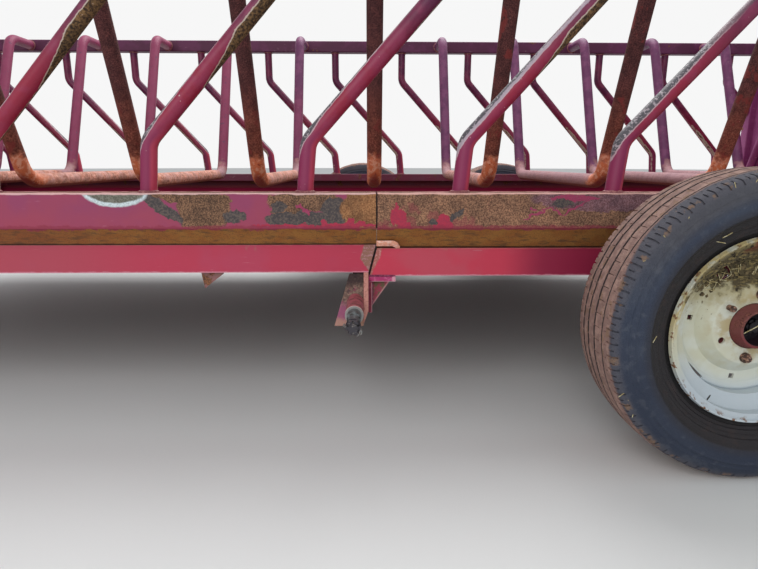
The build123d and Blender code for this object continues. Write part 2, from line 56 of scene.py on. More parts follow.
FACE_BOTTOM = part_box("sill_near_front")[0].z
FRAME_Y = (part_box("top_rail_far")[0].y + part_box("top_rail_far")[1].y) / 2
RAIL_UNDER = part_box("top_rail_far")[0].z
TOP_RAIL_Z = (RAIL_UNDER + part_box("top_rail_far")[1].z) / 2
HOOP_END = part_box("hoops_rear")[1].y
BAR_SPACING = 0.4064
SLANT_FIRST = SEAM_X - 0.187
SLANT_RADIUS = 0.0211
HOOP_RADIUS = 0.0254
RAIL_OUTER = -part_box("rail_near_front")[0].y
RAIL_INNER = -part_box("rail_near_front")[1].y
WHEELS = {
    # wheel: its hub on the middle plane, and the side it faces
    joint["child"]: (Vector(joint["pos_m"]), math.copysign(1, joint["pos_m"][1]))
    for joint in frame["joints"]
    if joint["child"].endswith("_wheel")
}
FRONT_AXLE = WHEELS["far_front_wheel"][0].x
REAR_AXLE = WHEELS["far_rear_wheel"][0].x
AXLE_Z = WHEELS["far_rear_wheel"][0].z
WHEEL_Y = WHEELS["far_rear_wheel"][0].y
LEG_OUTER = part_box("axle_legs")[1].y
LEG_BOTTOM = AXLE_Z - 0.047
PAD_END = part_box("axle_legs")[1].x - REAR_AXLE
FRONT_END, REAR_END = (corner.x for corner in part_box("top_rail_far"))
# The sections' joint leans from this height down: metres along the wagon for each metre of drop
CUT_TOP, CUT_LEAN = 0.504, 0.262
DIAGONAL = 0.7071
# Finishes on both axles turn from the front one's look to the rear one's between these places
AXLE_DIVIDE = (1.04, 1.06)
# How far the legs' gussets reach along the wagon and down
GUSSET_REACH, GUSSET_DROP = 0.051, 0.074
# The hand hole in each wheel's disc: degrees and radius
HAND_HOLE = (119, 0.138)

random.seed(16)
bpy.context.scene.view_settings.view_transform = "Standard"


def set_camera():
    """The photograph's view: low, square on to the near side, at the joint of the two sections."""
    data = bpy.data.cameras.new("seam_view")
    data.lens = 25.965
    data.sensor_width = 36
    camera = bpy.data.objects.new("seam_view", data)
    turn = Matrix.Rotation(math.radians(-1.148), 4, "Z")
    tilt = Matrix.Rotation(math.radians(90 - 12.692), 4, "X")
    roll = Matrix.Rotation(math.radians(0.067), 4, "Z")
    camera.matrix_world = Matrix.Translation((SEAM_X - 0.0222, -2.51085, 0.7275)) @ turn @ tilt @ roll
    bpy.context.scene.collection.objects.link(camera)
    bpy.context.scene.camera = camera


def set_studio():
    """A plain pale floor, an even pale room and two large soft lamps."""
    world = bpy.data.worlds.new("pale_room")
    world.use_nodes = True
    bpy.context.scene.world = world
    nodes, links = world.node_tree.nodes, world.node_tree.links
    room = nodes["Background"]
    room.inputs["Color"].default_value = (0.93, 0.97, 1.0, 1)
    room.inputs["Strength"].default_value = 0.56
    backdrop = nodes.new("ShaderNodeBackground")
    backdrop.inputs["Color"].default_value = (0.93, 0.93, 0.93, 1)
    rays = nodes.new("ShaderNodeLightPath")
    seen, either = nodes.new("ShaderNodeMath"), nodes.new("ShaderNodeMath")
    seen.operation = either.operation = "MAXIMUM"
    links.new(rays.outputs["Is Camera Ray"], either.inputs[0])
    links.new(rays.outputs["Is Glossy Ray"], either.inputs[1])
    links.new(either.outputs[0], seen.inputs[0])
    links.new(rays.outputs["Is Transmission Ray"], seen.inputs[1])
    mix = nodes.new("ShaderNodeMixShader")
    links.new(seen.outputs[0], mix.inputs[0])
    links.new(room.outputs[0], mix.inputs[1])
    links.new(backdrop.outputs[0], mix.inputs[2])
    links.new(mix.outputs[0], nodes["World Output"].inputs["Surface"])

    ground = bmesh.new()
    bmesh.ops.create_circle(ground, cap_ends=True, radius=60, segments=64)
    bmesh.ops.translate(ground, verts=ground.verts, vec=(0, 0, -0.0005))
    mesh = bpy.data.meshes.new("floor")
    ground.to_mesh(mesh)
    ground.free()
    floor = bpy.data.objects.new("floor", mesh)
    bpy.context.scene.collection.objects.link(floor)
    paper = bpy.data.materials.new("pale_floor")
    paper.use_nodes = True
    paper.node_tree.nodes["Principled BSDF"].inputs["Base Color"].default_value = (0.80, 0.80, 0.79, 1)
    paper.node_tree.nodes["Principled BSDF"].inputs["Roughness"].default_value = 0.9
    mesh.materials.append(paper)

    lamps = (
        # name, place, size, watts
        ("overhead_lamp", (SEAM_X + 0.8, 1.9, 5.2), 4.5, 260),
        ("front_lamp", (SEAM_X - 2.2, -5.5, 3.4), 4.5, 125),
    )
    for name, place, size, watts in lamps:
        data = bpy.data.lights.new(name, "AREA")
        data.shape = "DISK"
        data.size = size
        data.energy = watts
        lamp = bpy.data.objects.new(name, data)
        lamp.location = place
        lamp.rotation_euler = (Vector((SEAM_X, 0, 0.7)) - Vector(place)).to_track_quat("-Z", "Y").to_euler()
        bpy.context.scene.collection.objects.link(lamp)


def tint(code):
    """A colour written as six hex digits, as the shader's linear values."""
    parts = [int(code[i : i + 2], 16) / 255 for i in (0, 2, 4)]
    return (*[((part + 0.055) / 1.055) ** 2.4 if part > 0.04045 else part / 12.92 for part in parts], 1)


class Finish:
    """One procedural finish, built up in layers over the piece's own coordinates."""

    def __init__(self, name, base, roughness=0.6, metallic=0.0, centre=(0, 0, 0)):
        self.material = bpy.data.materials.new(name)
        self.material.use_nodes = True
        self.nodes = self.material.node_tree.nodes
        self.links = self.material.node_tree.links
        self.shader = self.nodes["Principled BSDF"]
        self.shader.inputs["Metallic"].default_value = metallic
        self.shader.inputs["Specular IOR Level"].default_value = 0.35
        self.place = self.node("TexCoord", {}).outputs["Object"]
        if any(centre):
            self.place = self.vector("SUBTRACT", self.place, centre)
        self.colour = tint(base)
        self.rough = roughness
        self.height = None
        self.x, self.y, self.z = self.node("SeparateXYZ", {0: self.place}).outputs
        self.facing = self.node("NewGeometry", {}).outputs["Normal"]

    def node(self, kind, inputs, **settings):
        made = self.nodes.new("ShaderNode" + kind)
        for key, value in settings.items():
            setattr(made, key, value)
        for key, value in inputs.items():
            if isinstance(value, bpy.types.NodeSocket):
                self.links.new(value, made.inputs[key])
            else:
                made.inputs[key].default_value = value
        return made

    def sum(self, how, first, second=0.0):
        return self.node("Math", {0: first, 1: second}, operation=how).outputs[0]

    def plus(self, first, second):
        return self.sum("ADD", first, second)

    def minus(self, first, second):
        return self.sum("SUBTRACT", first, second)

    def apart(self, first, second):
        """How far two values are from each other."""
        return self.sum("ABSOLUTE", self.minus(first, second))

    def aside(self):
        """How far out a place is, on either side of the middle plane."""
        return self.sum("ABSOLUTE", self.y)

    def vector(self, how, first, second):
        return self.node("VectorMath", {0: first, 1: second}, operation=how).outputs[0]

    def length(self, place):
        return self.node("VectorMath", {0: place}, operation="LENGTH").outputs["Value"]

    def turned_to(self, direction):
        """1 where the surface faces this way, 0 where it is square to it."""
        inputs = {0: self.facing, 1: direction}
        return self.node("VectorMath", inputs, operation="DOT_PRODUCT").outputs["Value"]

    def mix(self, share, first, second, how="MIX"):
        return self.node("Mix", {0: share, 6: first, 7: second}, data_type="RGBA", blend_type=how).outputs[2]

    def step(self, value, low, high):
        """0 up to low, 1 from high, smooth between them; low may be above high."""
        inputs = {"Value": value, "From Min": low, "From Max": high}
        return self.node("MapRange", inputs, interpolation_type="SMOOTHSTEP").outputs[0]

    def ramp(self, value, low, high, at_low, at_high):
        """Straight from one value to another, and level outside low and high."""
        inputs = {"Value": value, "From Min": low, "From Max": high, "To Min": at_low, "To Max": at_high}
        return self.node("MapRange", inputs).outputs[0]

    def both(self, *shares):
        """The product of several shares or other values."""
        total = shares[0]
        for share in shares[1:]:
            total = self.sum("MULTIPLY", total, share)
        return total

    def either(self, *shares):
        """The largest of several shares."""
        total = shares[0]
        for share in shares[1:]:
            total = self.sum("MAXIMUM", total, share)
        return total

    def cloud(self, size, detail=3.0, stretch=(1, 1, 1)):
        """Soft noise, about 0.3 to 0.7, with features of this size."""
        place = self.vector("MULTIPLY", self.place, tuple(1 / (size * part) for part in stretch))
        inputs = {"Vector": place, "Scale": 1.0, "Detail": detail, "Roughness": 0.6}
        return self.node("TexNoise", inputs).outputs[0]

    def patchy(self, size, low, high, detail=5.0, stretch=(1, 1, 1)):
        """Ragged patches of this size: 0 where the noise is at low, 1 where it is at high."""
        return self.step(self.cloud(size, detail, stretch), low, high)

    def uneven(self, value, size, amount, detail=4.0, stretch=(1, 1, 1)):
        """A value pushed up and down by noise."""
        return self.plus(value, self.both(self.minus(self.cloud(size, detail, stretch), 0.5), amount))

    def roughen(self, size, amount, detail=4.0):
        """Small bumps of this size all over."""
        self.raise_by(self.both(self.cloud(size, detail), amount))

    def warped(self, size, amount):
        """The coordinates pushed about, so that a patch has a ragged edge."""
        place = self.vector("MULTIPLY", self.place, (1 / size,) * 3)
        inputs = {"Vector": place, "Scale": 1.0, "Detail": 4.0, "Roughness": 0.65}
        push = self.vector("SUBTRACT", self.node("TexNoise", inputs).outputs["Color"], (0.5,) * 3)
        push = self.vector("MULTIPLY", push, (amount,) * 3)
        return self.vector("ADD", self.place, push)

    def coat(self, share, colour, roughness=None, raised=0.0):
        """Lays a colour over what is there; several shares are multiplied, and raised adds to the height."""
        if isinstance(share, tuple):
            share = self.both(*share)
        self.colour = self.mix(share, self.colour, tint(colour) if isinstance(colour, str) else colour)
        if roughness is not None:
            inputs = {0: share, 2: self.rough, 3: roughness}
            self.rough = self.node("Mix", inputs, data_type="FLOAT").outputs[0]
        if raised:
            self.raise_by(self.both(share, raised))

    def raise_by(self, height):
        self.height = height if self.height is None else self.plus(self.height, height)

    def patch(self, x, z, half_x, half_z, tilt=0.0, at=None):
        """1 inside an oval on the near or far face, 0 outside."""
        moved = self.vector("SUBTRACT", at or self.place, (x, 0, z))
        inputs = {"Vector": moved, "Rotation": (0, math.radians(-tilt), 0)}
        turned = self.node("Mapping", inputs).outputs[0]
        shrunk = self.vector("MULTIPLY", turned, (1 / half_x, 0, 1 / half_z))
        return self.step(self.length(shrunk), 1.06, 0.94)

    def finish(self):
        for name, value in (("Base Color", self.colour), ("Roughness", self.rough)):
            if isinstance(value, bpy.types.NodeSocket):
                self.links.new(value, self.shader.inputs[name])
            else:
                self.shader.inputs[name].default_value = value
        if self.height is not None:
            bumps = self.node("Bump", {"Height": self.height, "Distance": 1.0, "Strength": 1.0})
            self.links.new(bumps.outputs[0], self.shader.inputs["Normal"])
        return self.material


def add_rust(layer, share, dark="503C32", light="927058", grain=0.0036):
    """Speckled rust: brown with pale and dark grains, matt and rough."""
    speckle = layer.patchy(grain, 0.36, 0.66, 4.0)
    slow = layer.patchy(0.035, 0.35, 0.65, 4.0)
    body = layer.mix(speckle, tint(dark), tint(light))
    shade = layer.mix(slow, (0.72, 0.70, 0.70, 1), (1.16, 1.1, 1.04, 1))
    body = layer.mix(1.0, body, shade, "MULTIPLY")
    layer.coat(share, body, 0.92)
    layer.raise_by(layer.both(share, speckle, 0.0004))


def add_fade(layer, share_size, colour, low=0.45, high=0.6, most=0.7):
    """Slow patches in which the paint has gone chalky."""
    share = layer.patchy(share_size, low, high, 3.0)
    layer.coat((share, most), colour)


def add_scratches(layer, colour="E8C8CC", most=0.5):
    """Thin pale scuffs that run along the wagon."""
    scratch = layer.cloud(0.004, 2.0, stretch=(14, 1, 1))
    share = layer.both(layer.step(scratch, 0.66, 0.72), layer.patchy(0.08, 0.5, 0.62, 3.0), most)
    layer.coat(share, colour, 0.7)


def add_paint_skin(layer, amount=0.00015):
    """The slight unevenness of brushed and sprayed paint."""
    layer.roughen(0.012, amount * 2, 2.0)


def add_spots(layer, spots, at):
    """Listed patches: name of the look, x, z, half length, half height, tilt."""
    for look, x, z, half_x, half_z, tilt in spots:
        share = layer.patch(x, z, half_x, half_z, tilt, at)
        if look in RUST_TONES:
            add_rust(layer, share, *RUST_TONES[look])
        else:
            grains = layer.patchy(0.004, 0.42, 0.62, 4.0)
            layer.coat(share, SPOT_COLOURS[look][0], 0.7, 0.0002)
            layer.coat((share, grains, 0.75), SPOT_COLOURS[look][1])


RUST_TONES = {
    # look: dark and light grains
    "rust": ("503C32", "927058"),
    "orange": ("7A5238", "A87C56"),
    "mauve": ("68484E", "94707A"),
}
SPOT_COLOURS = {
    # look: colour, grain colour
    "dark": ("423C3E", "6C5E56"),
    "primer": ("5E5C52", "86867A"),
    "white": ("D2DEE2", "A8B4B8"),
    "red": ("AE3048", "98304A"),
    "pink": ("A03C5C", "983E60"),
}
SILL_FRONT_SPOTS = (
    # look, x, z, half length, half height, tilt
    ("rust", 0.210, 0.604, 0.066, 0.058, 0),
    ("rust", 0.170, 0.643, 0.112, 0.022, 6),
    ("rust", 0.262, 0.632, 0.022, 0.009, 0),
    ("dark", 0.108, 0.610, 0.060, 0.014, 36),
    ("dark", 0.288, 0.590, 0.030, 0.018, -15),
    ("rust", 0.468, 0.628, 0.098, 0.027, 0),
    ("rust", 0.430, 0.605, 0.050, 0.022, 0),
    ("dark", 0.402, 0.612, 0.020, 0.013, -20),
    ("dark", 0.462, 0.582, 0.098, 0.019, 0),
    ("dark", 0.545, 0.602, 0.036, 0.036, -30),
    ("pink", 0.462, 0.606, 0.020, 0.006, 27),
    ("orange", 0.620, 0.606, 0.058, 0.062, 0),
    ("red", 0.46, 0.5655, 0.11, 0.004, 0),
    ("red", 0.583, 0.567, 0.07, 0.006, 0),
    ("red", 0.517, 0.572, 0.010, 0.010, 0),
    ("red", 0.584, 0.577, 0.011, 0.011, 0),
    ("red", 0.61, 0.568, 0.016, 0.009, 0),
    ("red", 0.36, 0.5665, 0.03, 0.005, 0),
)
SILL_FRONT_CALM_SPOTS = (
    ("white", -0.008, 0.6545, 0.082, 0.0405, 0),
    ("primer", -0.006, 0.6560, 0.075, 0.0315, 0),
)
SILL_REAR_SPOTS = (
    ("red", 0.706, 0.588, 0.022, 0.022, 0),
    ("red", 0.722, 0.564, 0.017, 0.014, 0),
    ("red", 0.700, 0.610, 0.006, 0.016, 10),
    ("red", 0.824, 0.566, 0.026, 0.014, 0),
    ("red", 0.822, 0.583, 0.014, 0.018, 0),
    ("dark", 0.797, 0.575, 0.012, 0.008, 0),
    ("dark", 0.856, 0.592, 0.024, 0.009, -42),
    ("mauve", 1.25, 0.636, 0.2, 0.034, 0),
    ("pink", 1.160, 0.637, 0.062, 0.008, 0),
    ("dark", 1.130, 0.622, 0.027, 0.011, 0),
    ("pink", 1.066, 0.597, 0.042, 0.0035, -24),
    ("pink", 1.116, 0.602, 0.018, 0.0035, 40),
    ("pink", 1.164, 0.612, 0.042, 0.0035, -32),
    ("pink", 1.052, 0.61, 0.01, 0.004, 10),
    ("white", 1.03, 0.5505, 0.007, 0.0015, 0),
    ("white", 1.085, 0.5505, 0.013, 0.0015, 0),
)


def sill_finish(name, base, spots, edge):
    """The sill's outer face with its own patches, and a pale top flange edge, partly worn paint and partly
    painted sunlight.
    """
    layer = Finish(name, base, 0.55)
    ragged = layer.warped(0.022, 0.036)
    if spots is SILL_REAR_SPOTS:
        add_rust(layer, 1.0, "62463A", "A88066")
        reds = layer.both(layer.patchy(0.06, 0.56, 0.62), layer.step(layer.x, 0.98, 0.9))
        layer.coat((reds, 0.5), "8C4048")
    else:
        add_fade(layer, 0.12, "8C3A60", 0.42, 0.62)
        low = layer.step(layer.z, SILL_TOP - 0.03, FACE_BOTTOM + 0.02)
        layer.coat((low, 0.35), "A23E50")
        add_scratches(layer, "B87888", 0.4)
    add_spots(layer, spots, ragged)
    if spots is SILL_FRONT_SPOTS:
        add_spots(layer, SILL_FRONT_CALM_SPOTS, layer.warped(0.02, 0.009))
    # The pale line along the top edge is partly worn paint and partly painted sunlight.
    height = layer.uneven(layer.z, 0.02, 0.010, stretch=(3, 1, 1))
    layer.coat((layer.step(height, SILL_TOP - 0.0035, SILL_TOP - 0.0015), 0.85), edge, 0.6)
    inner = layer.step(layer.aside(), SILL_FACE - 0.012, SILL_FACE - 0.028)
    layer.coat((inner, 0.85), "A66A68", 0.8)
    add_rust(layer, layer.both(inner, layer.patchy(0.06, 0.4, 0.5, 4.0)), "5C4038", "9A6E5C")
    red_line = layer.uneven(layer.z, 0.02, 0.02)
    layer.coat((layer.step(red_line, FACE_BOTTOM + 0.009, FACE_BOTTOM + 0.004), 0.7), "862A3E", 0.7)
    joint = layer.apart(layer.x, SEAM_X)
    joint = layer.uneven(joint, 0.006, 0.004)
    layer.coat((layer.step(joint, 0.0030, 0.0018), 0.9), "2C2020", 0.9)
    add_paint_skin(layer)
    return layer.finish()


def plain_paint(name, base, faded, rust=0.60, dark="4A342C", light="9A6A4C", dust=None):
    """Weathered paint: faded patches, scuffs and rust where the noise passes this level."""
    layer = Finish(name, base, 0.55)
    add_fade(layer, 0.15, faded)
    add_scratches(layer)
    if dust:
        layer.coat((layer.patchy(0.03, 0.45, 0.65), 0.5), dust, 0.85)
    add_rust(layer, layer.patchy(0.07, rust, rust + 0.04, 6.0), dark, light)
    add_paint_skin(layer)
    return layer.finish()


def slope_finish():
    """The pan: mustard rust on the outer slope with a painted shadow line at its foot, and a dark brown
    floor with hay dust inside.
    """
    layer = Finish("pan_rust", "96602F", 0.9)
    add_fade(layer, 0.05, "A07038", 0.42, 0.6)
    layer.coat((layer.step(layer.x, 0.05, -0.3), 0.6), "8A4C30")
    layer.coat((layer.patchy(0.012, 0.5, 0.68, stretch=(3, 1, 1)), 0.7), "5A4430")
    layer.coat((layer.patchy(0.02, 0.56, 0.66, stretch=(4, 1, 1)), 0.5), "925E36")
    layer.coat((layer.patchy(0.003, 0.52, 0.66, 4.0), 0.6), "4A3A2C")
    edge = layer.uneven(layer.z, 0.03, 0.03)
    layer.coat(layer.step(edge, FACE_BOTTOM - 0.006, FACE_BOTTOM - 0.001), "8C3044", 0.6)
    # A dark line along the slope's foot, next to the rail, is painted shadow.
    step_down = layer.both(layer.step(layer.x, SEAM_X - 0.001, SEAM_X + 0.001), 0.010)
    rail_shadow_line = layer.uneven(layer.plus(layer.z, step_down), 0.03, 0.006)
    layer.coat((layer.step(rail_shadow_line, 0.5155, 0.5115), 0.85), "241A18", 0.9)
    upward = layer.turned_to((0, 0, 1))
    inside = layer.step(upward, 0.2, 0.4)
    layer.coat(inside, "54302C", 0.85)
    layer.coat((inside, layer.step(layer.z, 0.512, 0.525)), "A01C46", 0.6)
    layer.coat((inside, layer.patchy(0.04, 0.52, 0.60), layer.step(layer.z, 0.53, 0.51)), "6E4A36", 0.9)
    flat = layer.step(layer.aside(), RAIL_OUTER - 0.02, RAIL_OUTER - 0.06)
    layer.coat((inside, flat, layer.patchy(0.015, 0.52, 0.6, 6.0, stretch=(1, 2, 1))), "94805A", 0.95)
    layer.roughen(0.006, 0.0012, 5.0)
    return layer.finish()


def rail_finish(name, base, faded, side):
    """Lower rails: crimson paint, rubbed dusty at the joint of the two sections."""
    layer = Finish(name, base, 0.5)
    add_fade(layer, 0.2, faded)
    add_scratches(layer, "C4808C", 0.4)
    height = layer.z
    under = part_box("rail_near_front" if side < 0 else "rail_near_rear")[0].z
    if side > 0:
        # The darker crimson towards the wheel on the rear rail is the wheel's painted shadow.
        layer.coat((layer.step(layer.x, 0.98, 1.12), 0.85), "861C3E")
    else:
        layer.coat((layer.step(layer.x, 0.10, -0.25), 0.6), "A84A58")
    # How far from the slanting cut, along the rail
    cut = layer.plus(layer.both(layer.minus(height, CUT_TOP), CUT_LEAN), SEAM_X)
    away = layer.both(layer.minus(layer.x, cut), side)
    noisy = layer.uneven(away, 0.012, 0.010)
    narrow, wide = (0.004, 0.034) if side < 0 else (0.006, 0.016)
    rubbed = layer.step(layer.minus(noisy, layer.ramp(height, 0.438, 0.470, narrow, wide)), 0.003, -0.002)
    layer.coat((rubbed, 0.9), "8E6C5C" if side < 0 else "A4685E", 0.8)
    layer.coat((rubbed, layer.patchy(0.007, 0.50, 0.60), 0.8), "B4848A" if side < 0 else "C88E8A", 0.8)
    streak = layer.both(
        layer.patchy(0.012, 0.52, 0.68, 3.0, stretch=(1, 1, 4)),
        layer.step(height, 0.485, 0.505),
        layer.patchy(0.2, 0.5, 0.6, 2.0),
        0.5,
    )
    layer.coat(streak, "9C7468", 0.85)
    edge = layer.uneven(height, 0.02, 0.006)
    layer.coat((layer.step(edge, under + 0.004, under + 0.002), 0.7), "D090A0")
    layer.coat((layer.step(edge, under + 0.0735, under + 0.0755), 0.5), "B47468")
    layer.coat((layer.step(away, 0.0040, 0.0022), layer.step(away, -0.002, -0.001)), "1C1214", 0.9)
    add_rust(layer, layer.patchy(0.05, 0.70, 0.74, 6.0))
    add_paint_skin(layer)
    return layer.finish()


def slant_finish(name, base, high, side):
    """Slant bars: crimson turning purple with height, a pale band on top of the slope, partly wear and
    partly painted highlight, rusty underneath.
    """
    layer = Finish(name, base, 0.45)
    height = layer.z
    layer.coat(layer.step(height, 0.90, 1.16), high)
    add_fade(layer, 0.07, "8E3456", 0.42, 0.62, 0.5)
    foot = layer.step(height, 0.84, 0.77)
    layer.coat((foot, 0.9), "842A52")
    # The lighter crimson on the sides of the feet that face the rear is painted sunlight.
    lit = layer.step(layer.turned_to((1, 0, 0)), 0.25, 0.7)
    layer.coat((foot, lit, 0.8), "BC4258")
    uneven = layer.uneven(layer.both(layer.minus(layer.cloud(0.03, 3.0), 0.5), 0.3), 0.005, 0.12, 3.0)
    upward = layer.turned_to((DIAGONAL * side, 0, DIAGONAL))
    inward = layer.both(layer.node("SeparateXYZ", {0: layer.facing}).outputs[1], -side)
    # The same all along one bar's slope, so that each near bar can be worn in its own way
    own_line = layer.minus(layer.x, height)

    def on_bars(*steps):
        shares = [
            layer.step(layer.apart(own_line, SLANT_FIRST + step * BAR_SPACING - 0.78), 0.20, 0.14)
            for step in steps
        ]
        return layer.either(*shares) if side < 0 else 0.0

    # Bare rust creeps round from below and behind as the bar climbs
    under = layer.minus(layer.both(inward, DIAGONAL), layer.both(upward, DIAGONAL))
    reach = layer.ramp(height, 0.90, 1.04, 1.0, -0.4 if side < 0 else 1.3)
    reach = layer.plus(reach, layer.both(on_bars(0, 2), 0.9))
    reach = layer.minus(reach, layer.both(on_bars(-2, -1, 1), 0.25))
    under = layer.plus(layer.minus(under, reach), uneven)
    layer.coat((layer.step(under, -0.12, -0.07), 0.8), "C2B4A4", 0.6)
    add_rust(layer, layer.step(under, -0.02, 0.03), "33261E", "7C6040", 0.006)
    # The pale band on top, partly worn paint and partly a painted highlight, starts on the leaning post and
    # ends in a wedge
    wedge = layer.plus(layer.ramp(height, 0.69, 0.79, 1.0, 0.16), layer.ramp(height, 0.82, 1.0, 0.0, 0.28))
    wedge = layer.plus(wedge, layer.both(layer.step(height, 0.79, 0.84), on_bars(-3, -2, -1, 0), 0.32))
    wedge = layer.plus(wedge, 0.15 if side < 0 else 0.6)
    top = layer.plus(layer.minus(upward, wedge), uneven)
    share = layer.step(height, 1.12, 0.98)
    layer.coat((layer.step(top, -0.08, -0.03), share, 0.8), "C4A8AE", 0.5)
    layer.coat((layer.step(top, 0.02, 0.10), layer.either(share, 0.5)), "4E4A50", 0.45)
    flecks = layer.both(layer.step(top, 0.0, 0.10), share, layer.patchy(0.007, 0.53, 0.60), 0.8)
    layer.coat(flecks, "B4A8AE", 0.5)
    pale = layer.both(layer.step(top, -0.02, 0.06), layer.step(top, 0.34, 0.24), on_bars(1), 0.8)
    layer.coat(pale, "B8A8B4", 0.5)
    chips = layer.patchy(0.012, 0.70, 0.73)
    layer.coat((chips, 0.7), "C8B0AC", 0.6)
    add_paint_skin(layer)
    return layer.finish()


def hoop_finish(name):
    """Cradle hoops: brown rust on the near legs, orange lower bends, violet paint on the far legs; painted
    sunlight on the front hoops and partly on the pale bottoms.
    """
    layer = Finish(name, "642C56", 0.5)
    add_fade(layer, 0.06, "7C4068", 0.42, 0.58, 0.8)
    # Pinker paint on the front hoops is painted sunlight.
    sunlit_pink = layer.either(
        layer.step(layer.x, 0.20, -0.05),
        layer.both(layer.step(layer.x, 0.60, 0.40), layer.step(layer.z, 1.18, 1.0), 0.6),
    )
    layer.coat((sunlit_pink, 0.7), "963A58")
    layer.coat((layer.patchy(0.02, 0.58, 0.68), 0.6), "5A3C58")
    height = layer.z
    far = layer.uneven(layer.y, 0.04, 0.16)
    near = layer.step(far, 0.47, 0.40)
    add_rust(layer, near, "44272A", "724444")
    add_rust(layer, layer.both(near, layer.step(height, 1.0, 0.80)), "68342E", "985A4C", 0.005)
    reddest = layer.either(layer.step(height, 1.0, 0.75), layer.step(layer.x, 0.75, 0.90))
    red = layer.both(near, layer.patchy(0.05, 0.56, 0.62), reddest, 0.8)
    layer.coat(red, "84302E", 0.55)
    low = layer.uneven(height, 0.03, 0.09)
    # The pale bottom runs are partly rust and partly painted sunlight.
    bottom = layer.both(layer.step(low, 0.745, 0.725), layer.step(far, 0.56, 0.50))
    add_rust(layer, bottom, "B87866", "E6B2A2", 0.010)
    sunlit_blush = layer.patchy(0.05, 0.48, 0.60, 4.0)
    layer.coat((bottom, sunlit_blush, 0.55), "D8A49C", 0.6)
    greyer = layer.either(layer.step(layer.x, 0.95, 1.15), layer.step(far, 0.34, 0.46))
    layer.coat((bottom, greyer, 0.75), "9A7682", 0.6)
    bend = layer.both(layer.step(low, 0.757, 0.722), layer.step(far, -0.44, -0.50))
    layer.coat(bend, "E07C54", 0.5)
    layer.coat((bend, layer.patchy(0.014, 0.48, 0.60, 4.0)), "F0AC90", 0.6)
    layer.coat((bend, layer.patchy(0.010, 0.60, 0.66, 4.0)), "B0442E", 0.5)
    downward = layer.both(layer.node("SeparateXYZ", {0: layer.facing}).outputs[2], -1.0)
    layer.coat((bottom, layer.step(downward, 0.45, 0.75), 0.85), "7C2434", 0.6)
    layer.coat((layer.patchy(0.01, 0.70, 0.74), 0.6), "C8A8A0", 0.7)
    add_paint_skin(layer, 0.0003)
    return layer.finish()


def leg_finish():
    """Axle legs: mottled brown sheet, a plate with a pale edge, dark red backing and a pink pad."""
    layer = Finish("leg_paint", "6A524A", 0.75)
    height = layer.z
    shift = layer.both(layer.step(layer.x, *AXLE_DIVIDE), REAR_AXLE - FRONT_AXLE)
    right = layer.minus(layer.minus(layer.x, FRONT_AXLE), shift)
    layer.coat((layer.patchy(0.007, 0.46, 0.60), 0.9), "92796A", 0.85)
    layer.coat((layer.patchy(0.010, 0.54, 0.64), 0.8), "46343A", 0.8)
    layer.coat((layer.patchy(0.012, 0.58, 0.66), 0.7), "8E3E58")
    uneven = layer.uneven(height, 0.02, 0.03)
    # The near-black band just under the pad and rail is painted shadow.
    layer.coat((layer.step(uneven, 0.392, 0.408), 0.8), "2A2024")
    low = layer.both(layer.step(uneven, 0.368, 0.345), layer.step(right, -0.012, -0.022))
    layer.coat((low, 0.8), "9A4E74")
    layer.coat((layer.step(uneven, 0.330, 0.320), 0.8), "AC8672")
    edge = layer.both(layer.step(right, 0.0218, 0.0224), layer.step(right, 0.0358, 0.0352))
    layer.coat(edge, "C88C80", 0.55)
    layer.coat((edge, layer.patchy(0.008, 0.52, 0.62), 0.7), "A06A5C", 0.7)
    backing = layer.step(right, 0.0350, 0.0356)
    layer.coat(backing, "80283E", 0.55)
    layer.coat((backing, layer.patchy(0.006, 0.54, 0.62), 0.7), "A85464")
    layer.coat((layer.step(right, 0.0432, 0.0440), layer.step(height, 0.404, 0.402), 0.9), "D2A2A8")
    gusset = layer.step(right, 0.0450, 0.0456)
    layer.coat(gusset, "6E5E48", 0.8)
    layer.coat((gusset, layer.patchy(0.015, 0.48, 0.56)), "9A3A50", 0.6)
    layer.coat((gusset, layer.patchy(0.006, 0.56, 0.64), 0.6), "8C7A62", 0.8)
    down = layer.sum("DIVIDE", layer.minus(height, 0.3328), GUSSET_DROP)
    along = layer.sum("DIVIDE", layer.minus(right, 0.0452), GUSSET_REACH)
    layer.coat((gusset, layer.step(layer.minus(down, along), 0.10, 0.05), 0.85), "D49CA0")
    pad = layer.both(layer.step(height, 0.4060, 0.4070), layer.step(right, 0.0350, 0.0356))
    layer.coat(pad, "AE3068", 0.5)
    layer.coat((pad, layer.patchy(0.010, 0.50, 0.62, 4.0), 0.7), "C8688E")
    pad_edge = layer.either(layer.step(right, 0.0990, 0.1010), layer.step(height, 0.4090, 0.4080))
    layer.coat((pad, pad_edge, 0.85), "E0A4B2")
    layer.roughen(0.006, 0.001, 5.0)
    return layer.finish()


